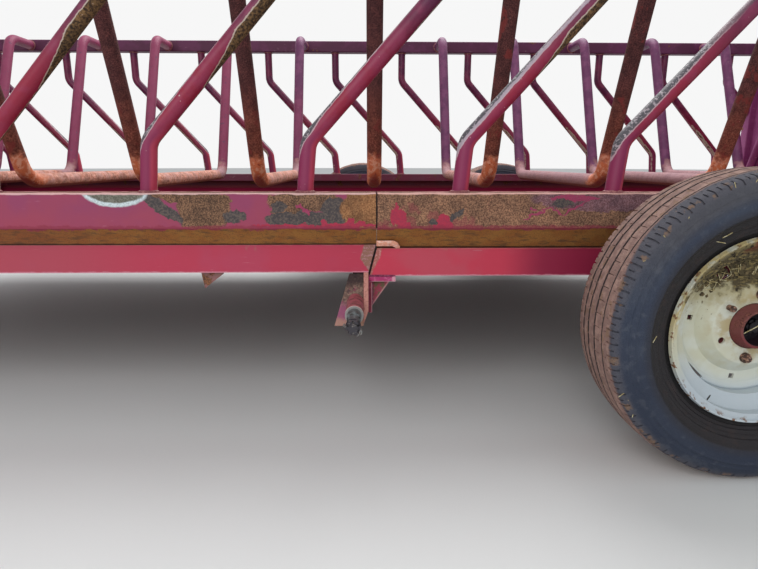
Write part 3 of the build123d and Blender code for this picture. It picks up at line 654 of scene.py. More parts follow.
def spindle_finish():
    """Spindles: painted tube, pale seal shoulder, greasy grey journals and a dark nut."""
    layer = Finish("spindle_steel", "B0606A", 0.6, 0.25)
    layer.coat((layer.patchy(0.02, 0.44, 0.6), 0.8), "6E4A44", 0.8)
    out = layer.aside()
    shoulder = WHEEL_Y - 0.068
    layer.coat(layer.step(out, shoulder - 0.0075, shoulder - 0.007), "ECE0D8", 0.45)
    layer.coat(layer.step(out, shoulder - 0.001, shoulder + 0.0005), "646A6C", 0.35)
    grease = layer.both(layer.step(out, shoulder, shoulder + 0.001), layer.patchy(0.012, 0.48, 0.6, 4.0))
    layer.coat(grease, "34302E", 0.3)
    layer.coat((layer.step(out, WHEEL_Y + 0.018, WHEEL_Y + 0.019), 0.9), "38333A", 0.4)
    thread = layer.step(out, WHEEL_Y + 0.02, WHEEL_Y + 0.03)
    layer.coat((thread, layer.patchy(0.006, 0.6, 0.66, 4.0)), "8C8680", 0.3)
    # The near-black on the rear spindle's tip inside the hub cup is painted shade.
    cup_shade = layer.step(out, WHEEL_Y + 0.012, WHEEL_Y + 0.016)
    layer.coat((layer.step(layer.x, *AXLE_DIVIDE), cup_shade, 0.9), "18141A", 0.5)
    rings = layer.sum("SINE", layer.both(out, math.tau / 0.0045))
    layer.raise_by(layer.both(rings, layer.step(out, shoulder, shoulder + 0.001), 0.0005))
    layer.roughen(0.005, 0.0006)
    return layer.finish()


def wheel_centre(front):
    return (FRONT_AXLE if front else REAR_AXLE, 0, AXLE_Z)


def rim_finish(name, front):
    """Cream wheel: dust and caked dirt high in the dish, yellowed chips on the flange."""
    layer = Finish(name, "D2D5C9", 0.45, centre=wheel_centre(front))
    flat = layer.vector("MULTIPLY", layer.place, (1, 0, 1))
    radius = layer.length(flat)
    add_fade(layer, 0.09, "C8C6AC", 0.44, 0.62, 0.7)
    layer.coat((layer.step(layer.z, -0.04, -0.14), layer.step(radius, 0.13, 0.17), 0.8), "B6C2CE")
    stain = layer.both(layer.step(radius, 0.128, 0.06), layer.patchy(0.05, 0.44, 0.62, 4.0), 0.8)
    layer.coat(stain, "B09C6A", 0.7)
    flange = layer.step(radius, 0.172, 0.19)
    high = layer.minus(layer.z, layer.both(layer.x, 0.4))
    yellow = layer.both(flange, layer.step(high, 0.02, 0.14), layer.patchy(0.03, 0.4, 0.55))
    layer.coat((yellow, 0.85), "C4AE70", 0.7)
    chips = layer.both(layer.step(radius, 0.20, 0.214), layer.patchy(0.014, 0.54, 0.6))
    layer.coat(chips, "7E5A40", 0.85)
    pushed = layer.minus(layer.z, layer.both(layer.x, 0.1))
    pushed = layer.uneven(pushed, 0.03, 0.14, 6.0)
    dirt = layer.both(layer.step(pushed, 0.084, 0.108), layer.step(radius, 0.222, 0.196))
    haze = layer.both(layer.step(pushed, 0.03, 0.090), layer.step(radius, 0.222, 0.196), 0.7)
    layer.coat(haze, "A89A6C", 0.9)
    layer.coat((dirt, 0.94), "524732", 0.95)
    layer.coat((dirt, layer.patchy(0.006, 0.5, 0.6, stretch=(2.5, 1, 1))), "8E7E54", 0.95)
    layer.coat((dirt, layer.patchy(0.009, 0.56, 0.62)), "262019", 0.95)
    turn, reach = math.radians(HAND_HOLE[0]), HAND_HOLE[1]
    hole = layer.length(layer.vector("SUBTRACT", flat, (reach * math.cos(turn), 0, reach * math.sin(turn))))
    lip = layer.both(layer.step(hole, 0.0150, 0.0130), layer.step(hole, 0.0080, 0.0095), 0.9)
    layer.coat(lip, "C0B68A", 0.7, 0.0012)
    specks = layer.patchy(0.007, 0.64, 0.69, stretch=(1, 1, 1.6))
    layer.coat((specks, layer.step(layer.z, -0.06, 0.08), 0.85), "5E5238", 0.9)
    chip_start, chip_end = layer.step(layer.x, 0.00, -0.02), layer.step(layer.x, -0.06, -0.05)
    layer.coat((layer.step(layer.z, 0.150, 0.165), chip_start, chip_end, flange, 0.9), "6A3A2A", 0.85)
    # A dark crescent low on the left is painted shade in the slot between the disc and the rim.
    slot_shade = layer.patch(-0.090, -0.168, 0.008, 0.0022, -40, layer.warped(0.006, 0.003))
    layer.coat(slot_shade, "2E2A2A", 0.8)
    layer.raise_by(layer.both(dirt, layer.cloud(0.008, 5.0), 0.006))
    layer.roughen(0.03, 0.0008, 3.0)
    return layer.finish()


def hub_finish(name, front):
    """Hub: rust-red casting, with painted shade inside the cup."""
    layer = Finish(name, "74403E", 0.7, centre=wheel_centre(front))
    flat = layer.vector("MULTIPLY", layer.place, (1, 0, 1))
    radius = layer.length(flat)
    add_rust(layer, layer.patchy(0.02, 0.46, 0.6), "54302E", "8E5A50")
    layer.coat((layer.step(layer.z, -0.005, -0.03), 0.6), "6A1E26", 0.6)
    # The near-black inside the cup and its mottling are painted shade.
    layer.coat(layer.step(radius, 0.0402, 0.0388), "1E1820", 0.5)
    layer.coat((layer.step(radius, 0.038, 0.036), layer.patchy(0.008, 0.58, 0.66, 4.0)), "3C3238", 0.4)
    layer.roughen(0.006, 0.001)
    return layer.finish()


def tyre_finish(name, front):
    """Rubber: brown dust on the tread, a blue-grey sidewall with fine cracks, and dark bands towards the
    bead that are painted shade.
    """
    layer = Finish(name, "30384A", 0.65, centre=wheel_centre(front))
    flat = layer.vector("MULTIPLY", layer.place, (1, 0, 1))
    radius = layer.length(flat)
    layer.coat((layer.patchy(0.08, 0.42, 0.6, 4.0), 0.7), "3A4252", 0.7)
    layer.coat((layer.step(layer.z, 0.0, -0.15), 0.6), "262E40", 0.6)
    layer.coat((layer.patchy(0.02, 0.52, 0.68, 6.0), 0.35), "585C66", 0.8)
    high = layer.both(layer.step(layer.z, 0.05, 0.25), layer.step(radius, 0.29, 0.32))
    layer.coat((high, 0.5), "5A5656", 0.85)
    # The dark bands towards the bead are painted shade: the hollow of the sidewall and the gap at the rim.
    layer.coat((layer.step(radius, 0.296, 0.276), 0.7), "2A2A32", 0.6)
    layer.coat((layer.step(radius, 0.277, 0.270), 0.95), "1E1A1D", 0.55)
    layer.coat((layer.step(radius, 0.272, 0.262), layer.patchy(0.02, 0.52, 0.66), 0.4), "3C302E", 0.8)
    layer.coat(layer.step(radius, 0.232, 0.224), "161416", 0.6)
    ragged = layer.uneven(radius, 0.03, 0.012, 5.0)
    layer.coat((layer.step(ragged, 0.330, 0.346), 0.75), "55545C", 0.85)
    out = layer.minus(layer.aside(), WHEEL_Y)
    out = layer.uneven(out, 0.02, 0.02)
    shaded = layer.plus(out, layer.both(layer.step(layer.z, 0.06, 0.26), 0.026))
    tread = layer.both(layer.step(radius, 0.3455, 0.3480), layer.step(shaded, 0.088, 0.078))
    layer.coat(tread, "8C7068", 0.88)
    layer.coat((tread, layer.patchy(0.02, 0.45, 0.62), 0.8), "AC8C80", 0.9)
    layer.coat((tread, layer.patchy(0.005, 0.58, 0.68), 0.5), "5A4C4A", 0.9)
    mud = layer.both(layer.step(radius, 0.335, 0.345), layer.patchy(0.025, 0.56, 0.64), 0.7)
    layer.coat(mud, "866A54", 0.9)
    plain_out = layer.minus(layer.aside(), WHEEL_Y)
    for middle, half, _ in TYRE_GROOVES:
        beside = layer.apart(plain_out, middle)
        groove = layer.step(beside, half + 0.0016, half + 0.0004)
        layer.coat((groove, layer.step(radius, 0.340, 0.345), 0.9), "2A2426", 0.8)
    around = layer.cloud(0.003, 3.0, stretch=(1, 8, 1))
    layer.raise_by(layer.both(layer.step(around, 0.5, 0.62), 0.0005))
    layer.roughen(0.012, 0.0008, 5.0)
    return layer.finish()


def wire_finish(name, base, light, roughness=0.6, metallic=0.0):
    """A small piece's finish: two tones and a little roughness."""
    layer = Finish(name, base, roughness, metallic)
    layer.coat(layer.patchy(0.008, 0.45, 0.6, 4.0), light)
    layer.roughen(0.004, 0.0004, 3.0)
    return layer.finish()


def place_piece(name, bm, body, finish, smooth=True, replaces=None):
    """Makes the finished piece from its bmesh, at rest in the wagon's frame."""
    mesh = bpy.data.meshes.new(name)
    bm.to_mesh(mesh)
    bm.free()
    mesh.materials.append(finish)
    if smooth:
        mesh.shade_smooth()
        mesh.set_sharp_from_angle(angle=math.radians(38))
    piece = bpy.data.objects.new(name, mesh)
    bpy.context.scene.collection.objects.link(piece)
    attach(piece, body)
    if replaces:
        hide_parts(replaces)


# A tyre's section over the outside, from the outward bead to the inward one: outward, radius
TYRE_BEAD = (
    (0.0450, 0.2034), (0.0726, 0.2034), (0.0726, 0.2150), (0.0740, 0.2200), (0.0775, 0.2270),
    (0.0800, 0.2280), (0.0815, 0.2350), (0.0845, 0.2365), (0.0870, 0.2440), (0.0905, 0.2460),
    (0.0935, 0.2530), (0.0970, 0.2545), (0.1010, 0.2630), (0.1050, 0.2680), (0.1085, 0.2710),
    (0.1108, 0.2730), (0.1115, 0.2760), (0.1119, 0.2870), (0.1114, 0.2980), (0.1102, 0.3060),
    (0.1110, 0.3075), (0.1106, 0.3095), (0.1088, 0.3110), (0.1068, 0.3200), (0.1074, 0.3215),
    (0.1064, 0.3230), (0.1050, 0.3290), (0.1000, 0.3400), (0.0955, 0.3478), (0.0905, 0.3515),
    (0.0800, 0.3536),
)
TYRE_GROOVES = (
    # outward place of each groove's middle, half its width at the top, depth
    (0.0520, 0.0016, 0.0020),
    (0.0145, 0.0030, 0.0065),
    (-0.0200, 0.0030, 0.0065),
    (-0.0510, 0.0030, 0.0060),
)
# Half of its hollow, from the bead to the middle plane
TYRE_INSIDE = ((0.0550, 0.2300), (0.0900, 0.2850), (0.0700, 0.3360), (0.0000, 0.3400))
# The tread repeats this often, each time in turns of these shares, with its ribs pushed sideways
TREAD_PITCHES = 72
TREAD_TURNS = (0.18, 0.14, 0.18, 0.18, 0.12, 0.14, 0.06)
ZIGZAG = (0.0014, 0.0, -0.0007, -0.0014, -0.0007, 0.0, 0.0014, 0.0014)
# The turns in which each kind of cut is made
LONG_CUT, SHORT_CUT, RIB_CUT = 1, 4, 6


def crown(out):
    """The tread's radius at this distance from the tyre's middle plane."""
    return 0.3590 - 0.0054 * (out / 0.08) ** 2


def tyre_section():
    """The closed section of a tyre, as outward and radius."""
    tread = [(0.0700, crown(0.07)), (0.0620, crown(0.062))]
    for middle, half, depth in TYRE_GROOVES:
        tread += [
            (middle + half, crown(middle)), (middle + half * 0.55, crown(middle) - depth),
            (middle - half * 0.55, crown(middle) - depth), (middle - half, crown(middle)),
        ]
        if middle == TYRE_GROOVES[0][0]:
            tread += [(0.0420, crown(0.042)), (0.0300, crown(0.03))]
        else:
            tread.append((middle - 0.017, crown(middle - 0.017)))
    inner = [(-out, radius) for out, radius in reversed(TYRE_BEAD)]
    cavity = [(-out, radius) for out, radius in TYRE_INSIDE]
    cavity += [(out, radius) for out, radius in TYRE_INSIDE[-2::-1]]
    return [*TYRE_BEAD, *tread, *inner, *cavity]


def make_tyre(name, wheel, node, finish):
    """A tyre: its section spun through one short pitch, cut, repeated all round and worn."""
    centre, side = WHEELS[wheel]
    bm = bmesh.new()
    section = [bm.verts.new((0, out * side, radius)) for out, radius in tyre_section()]
    front = [bm.edges.new((first, second)) for first, second in zip(section, section[1:] + section[:1])]
    pitch = math.tau / TREAD_PITCHES
    columns = [section]
    cuts = []
    for index, share in enumerate(TREAD_TURNS):
        known = set(bm.faces)
        grown = bmesh.ops.spin(
            bm, geom=front, cent=(0, 0, 0), axis=(0, 1, 0), angle=pitch * share, steps=1, use_merge=False
        )["geom_last"]
        front = [part for part in grown if isinstance(part, bmesh.types.BMEdge)]
        columns.append([part for part in grown if isinstance(part, bmesh.types.BMVert)])
        for face in [face for face in bm.faces if face not in known]:
            middle = face.calc_center_median()
            out, radius = abs(middle.y), math.hypot(middle.x, middle.z)
            long_cut = index == LONG_CUT and out > 0.074 and radius > 0.336
            short_cut = index == SHORT_CUT and out > 0.080 and radius > 0.347
            rib_cut = index == RIB_CUT and radius > 0.345 and (0.017 < out < 0.042 or 0.062 < out < 0.070)
            if long_cut or short_cut or rib_cut:
                cuts.append(face)
    for column, push in zip(columns, ZIGZAG):
        for vert in column:
            if abs(vert.co.y) < 0.056 and math.hypot(vert.co.x, vert.co.z) > 0.3490:
                vert.co.y += push
    bmesh.ops.recalc_face_normals(bm, faces=bm.faces)
    bmesh.ops.inset_region(
        bm, faces=cuts, thickness=0.0006, depth=-0.0035, use_boundary=True, use_even_offset=True
    )
    bmesh.ops.spin(
        bm, geom=bm.verts[:] + bm.edges[:] + bm.faces[:], cent=(0, 0, 0), axis=(0, 1, 0),
        angle=math.tau, steps=TREAD_PITCHES, use_duplicate=True, use_merge=False,
    )
    bmesh.ops.remove_doubles(bm, verts=bm.verts, dist=0.00005)
    bmesh.ops.recalc_face_normals(bm, faces=bm.faces)
    for vert in bm.verts:
        radius = math.hypot(vert.co.x, vert.co.z)
        if radius > 0.33:
            wear = abs(noise.noise(vert.co * 14)) * 0.0018 + abs(noise.noise(vert.co * 90)) * 0.0006
            vert.co.x -= vert.co.x / radius * wear
            vert.co.z -= vert.co.z / radius * wear
    bmesh.ops.translate(bm, verts=bm.verts, vec=centre)
    place_piece(name, bm, wheel, finish, replaces=node)


def standing(direction):
    """The turn that stands a piece made along Z in this direction."""
    return Vector((0, 0, 1)).rotation_difference(Vector(direction)).to_matrix().to_4x4()


def following(run):
    """The turn that lays a section's plane square to a run."""
    return run.to_track_quat("Z", "Y").to_matrix().to_4x4()


def edges_at(verts):
    """The edges that meet these corners, each once and in the same order each run."""
    return list(dict.fromkeys(edge for vert in verts for edge in vert.link_edges))


def add_ring(bm, centre, axis, radius, thickness):
    """A lumpy weld bead round a pipe's end."""
    made = bmesh.ops.create_circle(bm, cap_ends=False, radius=thickness, segments=6)
    stand = Matrix.Translation((radius, 0, 0)) @ Matrix.Rotation(math.pi / 2, 4, "X")
    bmesh.ops.transform(bm, matrix=stand, verts=made["verts"])
    edges = edges_at(made["verts"])
    bmesh.ops.spin(bm, geom=edges, cent=(0, 0, 0), axis=(0, 0, 1), angle=math.tau, steps=22, use_merge=True)
    fresh = [vert for vert in bm.verts if not vert.tag]
    turn = standing(axis)
    for vert in fresh:
        lump = 0.5 * noise.noise(vert.co * 160 + Vector(centre) * 7)
        from_core = vert.co - Vector((vert.co.x, vert.co.y, 0)).normalized() * radius
        vert.co += from_core * lump
        vert.co = Matrix.Translation(centre) @ turn @ vert.co
        vert.tag = True


def add_bead(bm, start, end, thickness=0.004):
    """A rippled weld bead along an edge."""
    start, end = Vector(start), Vector(end)
    run = end - start
    count = max(3, round(run.length / 0.006))
    made = bmesh.ops.create_circle(bm, cap_ends=False, radius=thickness, segments=6)
    bmesh.ops.transform(bm, matrix=Matrix.Translation(start) @ following(run), verts=made["verts"])
    edges = edges_at(made["verts"])
    for vert in made["verts"]:
        vert.tag = True
    for index in range(1, count + 1):
        grown = bmesh.ops.extrude_edge_only(bm, edges=edges)["geom"]
        verts = [part for part in grown if isinstance(part, bmesh.types.BMVert)]
        edges = [part for part in grown if isinstance(part, bmesh.types.BMEdge)]
        core = start + run * index / count
        previous = start + run * (index - 1) / count
        size = thickness * (0.85 + 0.3 * random.random()) * (0.55 if index == count else 1)
        for vert in verts:
            off = vert.co - previous
            vert.co = core + off.normalized() * size
            vert.tag = True


def join_part(bm, part, matrix):
    """Adds a small part, turned and placed, to a larger piece."""
    bmesh.ops.transform(part, matrix=matrix, verts=part.verts)
    mesh = bpy.data.meshes.new("joined")
    part.to_mesh(mesh)
    part.free()
    bm.from_mesh(mesh)
    bpy.data.meshes.remove(mesh)


def soften(part, edges, offset):
    """Rounds the edges given."""
    bmesh.ops.bevel(
        part, geom=edges, offset=offset, offset_type="OFFSET", segments=2,
        profile=0.5, affect="EDGES", material=-1, clamp_overlap=True,
    )


def top_edges(part):
    height = max(vert.co.z for vert in part.verts)
    return [edge for edge in part.edges if all(abs(vert.co.z - height) < 0.0001 for vert in edge.verts)]


def add_disc(bm, place, sides, radius, depth, outer_radius=None, worn=0.0, dents=None):
    """A short round or six-sided piece: its outer end may be narrower or wider, worn or dented."""
    part = bmesh.new()
    bmesh.ops.create_cone(
        part, cap_ends=True, segments=sides, radius1=radius, radius2=outer_radius or radius, depth=depth
    )
    if worn:
        soften(part, top_edges(part), worn)
    if dents is not None:
        for vert in part.verts:
            vert.co += vert.co.normalized() * 0.0005 * noise.noise(vert.co * 300 + Vector((dents, 0, 0)))
    join_part(bm, part, place)


def add_stalk(bm, points, radius, sides):
    """A thin rod or straw along a few points, closed at both ends."""
    points = [Vector(point) for point in points]
    part = bmesh.new()
    made = bmesh.ops.create_circle(part, cap_ends=True, radius=radius, segments=sides)
    stand = Matrix.Translation(points[0]) @ following(points[1] - points[0])
    bmesh.ops.transform(part, matrix=stand, verts=made["verts"])
    face = part.faces[:][0]
    for previous, point in zip(points, points[1:]):
        grown = bmesh.ops.extrude_face_region(part, geom=[face])["geom"]
        face = next(item for item in grown if isinstance(item, bmesh.types.BMFace))
        verts = [item for item in grown if isinstance(item, bmesh.types.BMVert)]
        bmesh.ops.translate(part, verts=verts, vec=point - previous)
    bmesh.ops.recalc_face_normals(part, faces=part.faces)
    join_part(bm, part, Matrix.Identity(4))


BOLT_FACE = WHEEL_Y + 0.035
BOLT_CIRCLE = 0.0762


def on_wheel(wheel, angle, radius, out):
    """A place on a wheel: degrees from forward to up, radius, and distance from the wagon's middle."""
    centre, side = WHEELS[wheel]
    turn = math.radians(angle)
    return Vector((centre.x + radius * math.cos(turn), side * out, centre.z + radius * math.sin(turn)))


def add_wheel_nut(bm, wheel, angle, nut=True):
    """A stud, and on most of them a worn six-sided nut on its round seat."""
    turn = Matrix.Rotation(math.radians(angle * 1.7), 4, "Z")
    facing = standing((0, WHEELS[wheel][1], 0))
    spot = Matrix.Translation(on_wheel(wheel, angle, BOLT_CIRCLE, BOLT_FACE)) @ facing @ turn

    def lifted(height):
        return spot @ Matrix.Translation((0, 0, height))

    length = 0.019 if nut else 0.021
    add_disc(bm, lifted(length / 2 - 0.001), 16, 0.0066, length, worn=0.0014)
    for ridge in range(5):
        add_disc(bm, lifted(length - 0.0045 - ridge * 0.0016), 16, 0.0064, 0.0008, 0.0073)
    if nut:
        add_disc(bm, lifted(0.0010), 24, 0.0122, 0.003, 0.0112)
        add_disc(bm, lifted(0.0070), 6, 0.0118, 0.0095, worn=0.0018, dents=angle)


def add_lump(bm, place, size, facing):
    """A flattened crumb of caked dirt."""
    part = bmesh.new()
    bmesh.ops.create_icosphere(part, subdivisions=2, radius=size)
    for vert in part.verts:
        vert.co *= 1 + 0.7 * noise.noise(vert.co.normalized() * 1.6 + place * 90)
    join_part(bm, part, Matrix.Translation(place) @ standing(facing) @ Matrix.Diagonal((1, 1, 0.45, 1)))


def add_slab(bm, corners, through, worn=0.0012, lifted=None):
    """A plate with worn edges: its corners in order, and the way through it to its other face.

    lifted is one corner of the first face and how far the other face's corner there is moved.
    """
    part = bmesh.new()
    face = part.faces.new([part.verts.new(corner) for corner in corners])
    grown = bmesh.ops.extrude_face_region(part, geom=[face])["geom"]
    back = [item for item in grown if isinstance(item, bmesh.types.BMVert)]
    bmesh.ops.translate(part, verts=back, vec=through)
    if lifted:
        corner, way = lifted
        moved = [vert for vert in part.verts if (vert.co - corner - through).length < 0.0001]
        bmesh.ops.translate(part, verts=moved, vec=way)
    bmesh.ops.recalc_face_normals(part, faces=part.faces)
    soften(part, part.edges[:], worn)
    join_part(bm, part, Matrix.Identity(4))


def make_seam():
    """The joint of the two sections: near-black fill in the gaps as painted shade, and the bar welded on the
    slope beside it.
    """
    # Near-black boxes in the joint's gaps are painted shade.
    gap_shade = bmesh.new()
    for side in (-1, 1):
        for low, high, lean in (
            ((SEAM_X - 0.0009, 1.0990, FACE_BOTTOM + 0.001), (SEAM_X + 0.0009, 1.1045, SILL_TOP - 0.004), 0),
            ((SEAM_X - 0.0009, 1.0400, 0.4240), (SEAM_X + 0.0009, 1.0480, 0.4985), CUT_LEAN),
        ):
            part = bmesh.new()
            bmesh.ops.create_cube(part, size=1)
            size = [end - start for start, end in zip(low, high)]
            middle = Vector([(start + end) / 2 for start, end in zip(low, high)])
            bmesh.ops.scale(part, vec=size, verts=part.verts)
            bmesh.ops.translate(part, vec=middle, verts=part.verts)
            for vert in part.verts:
                vert.co.y *= side
                vert.co.x += lean * (vert.co.z - CUT_TOP)
            bmesh.ops.recalc_face_normals(part, faces=part.faces)
            join_part(gap_shade, part, Matrix.Identity(4))
    dark = wire_finish("seam_gap_shade", "1A1414", "2E2420", 0.9)
    place_piece("seam_gap_shade", gap_shade, "wagon", dark, smooth=False)

    bar = bmesh.new()
    up_slope = Vector((0, -DIAGONAL, DIAGONAL))
    start = Vector((SEAM_X - 0.0012, -1.0606, 0.5089))
    # Its outline on the slope: along the wagon, up the slope
    outline = (
        (0.001, -0.001), (0.001, 0.0205), (0.047, 0.0205), (0.057, 0.013),
        (0.064, -0.004), (0.064, -0.0105), (0.054, -0.0105), (0.043, -0.001),
    )
    corners = [start + Vector((along, 0, 0)) + up_slope * up for along, up in outline]
    add_slab(bar, corners, Vector((0, -0.0021, -0.0021)), 0.0007)
    # The bar's pale pink and near-white flecks are painted sunlight over its paint.
    worn = Finish("seam_bar_sunlit_paint", "F4AE92", 0.6)
    worn.coat(worn.patchy(0.012, 0.45, 0.6, 4.0), "FFD4C4")
    worn.coat((worn.patchy(0.006, 0.58, 0.66, 4.0), 0.7), "A05A54")
    place_piece("seam_bar", bar, "wagon", worn.finish())


def make_legs():
    """The axle legs, whose sheet and hanger taper towards the rail."""
    legs = bmesh.new()
    plate_start, plate_end, backing_end, sheet = 0.0222, 0.0352, 0.0452, 0.008
    pad, backing_drop = 0.016, 0.088
    pad_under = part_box("rail_near_rear")[0].z - pad
    rail_middle = (RAIL_OUTER + RAIL_INNER) / 2
    for axle, rail in ((FRONT_AXLE, "rail_near_front"), (REAR_AXLE, "rail_near_rear")):
        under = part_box(rail)[0].z
        for side in (-1, 1):

            def spot(right, out, height):
                return Vector((axle + right, side * out, height))

            along, out = Vector((1, 0, 0)), Vector((0, side, 0))
            slope = spot(0, LEG_OUTER, LEG_BOTTOM) - spot(0, RAIL_OUTER, under)
            inward = Vector((0, side * slope.z, -side * slope.y)).normalized()
            top = spot(0, RAIL_OUTER, under) + inward * 0.006
            toe = spot(plate_start, LEG_OUTER, LEG_BOTTOM)
            add_slab(legs, [
                spot(plate_start, RAIL_INNER, under), spot(plate_start, RAIL_OUTER, under),
                toe, spot(plate_start, RAIL_INNER, LEG_BOTTOM),
            ], along * (plate_end - plate_start), lifted=(toe, slope * -0.25))
            add_slab(legs, [
                top - along * 0.017, top + along * plate_start,
                top + along * plate_start + slope, top - along * 0.054 + slope,
            ], inward * sheet)
            add_slab(legs, [
                spot(-0.005, RAIL_INNER, under), spot(plate_end, RAIL_INNER, under),
                spot(plate_end, RAIL_INNER, LEG_BOTTOM), spot(-0.042, RAIL_INNER, LEG_BOTTOM),
            ], out * sheet)
            add_slab(legs, [
                spot(plate_end, RAIL_INNER, pad_under), spot(plate_end, RAIL_OUTER, pad_under),
                spot(plate_end, RAIL_OUTER, pad_under - backing_drop),
                spot(plate_end, RAIL_INNER, pad_under - backing_drop),
            ], along * (backing_end - plate_end))
            add_slab(legs, [
                spot(backing_end, rail_middle - sheet / 2, pad_under),
                spot(backing_end + GUSSET_REACH, rail_middle - sheet / 2, pad_under),
                spot(backing_end, rail_middle - sheet / 2, pad_under - GUSSET_DROP),
            ], out * sheet)
            add_slab(legs, [
                spot(plate_end, RAIL_INNER, pad_under), spot(PAD_END, RAIL_INNER, pad_under),
                spot(PAD_END, RAIL_OUTER, pad_under), spot(plate_end, RAIL_OUTER, pad_under),
            ], Vector((0, 0, pad)))
    place_piece("cut_legs", legs, "wagon", finishes["axle_legs"], replaces="axle_legs")


def make_leg_welds():
    """Weld lines round the pads, plates and gussets of the axle legs."""
    welds = bmesh.new()
    half_gusset = 0.0052
    for axle in (FRONT_AXLE, REAR_AXLE):
        for side in (-1, 1):
            edge, middle = side * RAIL_OUTER, side * (RAIL_OUTER + RAIL_INNER) / 2
            inner, outer = middle - side * half_gusset, middle + side * half_gusset
            for right, out, height, end_right, end_height, thickness in (
                # from: right of the axle, out, up; to: right, up
                (0.0352, edge, 0.4232, 0.1085, 0.4232, 0.0030),
                (0.0352, edge * 0.9995, 0.4075, 0.0452, 0.4075, 0.0028),
                (0.0462, inner, 0.4060, 0.0940, 0.4060, 0.0026),
                (0.0462, outer, 0.4060, 0.0940, 0.4060, 0.0026),
                (0.0462, outer, 0.4050, 0.0462, 0.3380, 0.0026),
                (0.0356, edge * 0.998, 0.4040, 0.0356, 0.3220, 0.0026),
            ):
                add_bead(welds, (axle + right, out, height), (axle + end_right, out, end_height), thickness)
    place_piece("leg_welds", welds, "wagon", wire_finish("leg_weld", "6E2444", "98506A", 0.6))


def make_tow_trim():
    """Weld lines of the hitch, tongue and jack ear, and the jack's grip and cap."""
    welds = bmesh.new()
    pieces = ("tongue_frame", "jack_crank", "jack_tube", "jack_mount")
    tongue, crank, tube, ear = (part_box(name) for name in pieces)
    nose, level = tongue[0].x, (tongue[0].z + tongue[1].z) / 2
    half_beam, half_bar, bar_back = 0.0381, 0.0254, 0.340
    bar = nose + bar_back
    # The inner edge of each beam spreads from here at this rate
    edge_at_nose, spread = 0.0251, 0.3503
    for height in (-0.0318, -0.0191, 0.0191, 0.0318):
        plate, height = nose - 0.0127, level + height
        add_bead(welds, (plate, -0.042, height), (plate, 0.042, height), 0.0035)
    for side in (-1, 1):
        face = nose + 0.001
        for up in (-1, 1):
            corner = level + up * half_beam
            add_bead(welds, (face, side * 0.027, corner), (face, side * 0.077, corner), 0.0040)
            ends = [
                (bar + back, side * (edge_at_nose + spread * (bar_back + back)), corner)
                for back in (-half_bar, half_bar)
            ]
            add_bead(welds, *ends, 0.0035)
        out = side * 0.0785
        add_bead(welds, (face, out, level - 0.036), (face, out, level + 0.036), 0.0040)
    for out in (ear[1].y, ear[1].y - 0.012):
        add_bead(welds, (bar - 0.023, out, level + half_beam), (bar + 0.023, out, level + half_beam), 0.0035)
    weld_paint = wire_finish("tow_weld", "7E3048", "A05A6C", 0.6)
    place_piece("tow_welds", welds, "wagon", weld_paint)

    grip = bmesh.new()
    turned = (
        # radius and height of the grip's side, from its lower end
        (0.0075, 0.000), (0.0115, 0.002), (0.0130, 0.012), (0.0118, 0.030),
        (0.0128, 0.052), (0.0120, 0.070), (0.0075, 0.074),
    )
    rings = [grip.verts.new((radius, 0, height)) for radius, height in turned]
    lines = [grip.edges.new(pair) for pair in zip(rings, rings[1:])]
    bmesh.ops.spin(
        grip, geom=lines, cent=(0, 0, 0), axis=(0, 0, 1), angle=math.tau, steps=24, use_merge=True
    )
    bmesh.ops.holes_fill(grip, edges=grip.edges)
    bmesh.ops.recalc_face_normals(grip, faces=grip.faces)
    bmesh.ops.translate(grip, verts=grip.verts, vec=(crank[1].x - 0.007, 0, crank[1].z - 0.0775))
    place_piece("jack_grip", grip, "jack", wire_finish("grip_rubber", "2C2A2A", "3C3836", 0.7))
    cap = bmesh.new()
    tube_top = Matrix.Translation(((tube[0].x + tube[1].x) / 2, 0, tube[1].z - 0.004))
    add_disc(cap, tube_top, 40, 0.0310, 0.012, worn=0.003)
    place_piece("jack_cap", cap, "jack", finishes["jack_tube"])


def make_frame_trim():
    """Weld lines round the corner posts and under the end panels, and the splice plates' bolts."""
    welds = bmesh.new()
    low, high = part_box("corner_posts")
    wide = 0.0635
    for end in (low.x + wide / 2, high.x - wide / 2):
        for across in (low.y + wide / 2, high.y - wide / 2):
            for height in (SILL_TOP + 0.001, RAIL_UNDER - 0.001):
                corners = [
                    Vector((end + step_x * wide / 2, across + step_y * wide / 2, height))
                    for step_x, step_y in ((-1, -1), (1, -1), (1, 1), (-1, 1))
                ]
                for first, second in zip(corners, corners[1:] + corners[:1]):
                    # The rearmost faces end the wagon's box, so no bead stands past them
                    if min(first.x, second.x) < REAR_END - 0.001:
                        add_bead(welds, first.lerp(second, 0.06), first.lerp(second, 0.94), 0.0032)
    for panel, face in (("end_panel_front", 0), ("end_panel_rear", 1)):
        low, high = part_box(panel)
        outer = (low, high)[face].x
        count = 7
        for index in range(count):
            middle, foot = low.y + (high.y - low.y) * (index + 0.5) / count, low.z + 0.001
            add_bead(welds, (outer, middle - 0.025, foot), (outer, middle + 0.025, foot), 0.0028)
    place_piece("frame_welds", welds, "wagon", weld_metal)

    bolts = bmesh.new()
    low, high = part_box("splice_plates")
    for side in (-1, 1):
        for along in (-0.085, -0.035, 0.035, 0.085):
            place = (SEAM_X + along, side * (RAIL_INNER - 0.006), (low.z + high.z) / 2)
            spot = Matrix.Translation(place) @ standing((0, -side, 0))
            add_disc(bolts, spot @ Matrix.Translation((0, 0, 0.005)), 6, 0.0108, 0.008, worn=0.0014)
            add_disc(bolts, spot @ Matrix.Translation((0, 0, 0.0010)), 24, 0.0140, 0.0026)
    place_piece("splice_bolts", bolts, "wagon", rusty_nut)


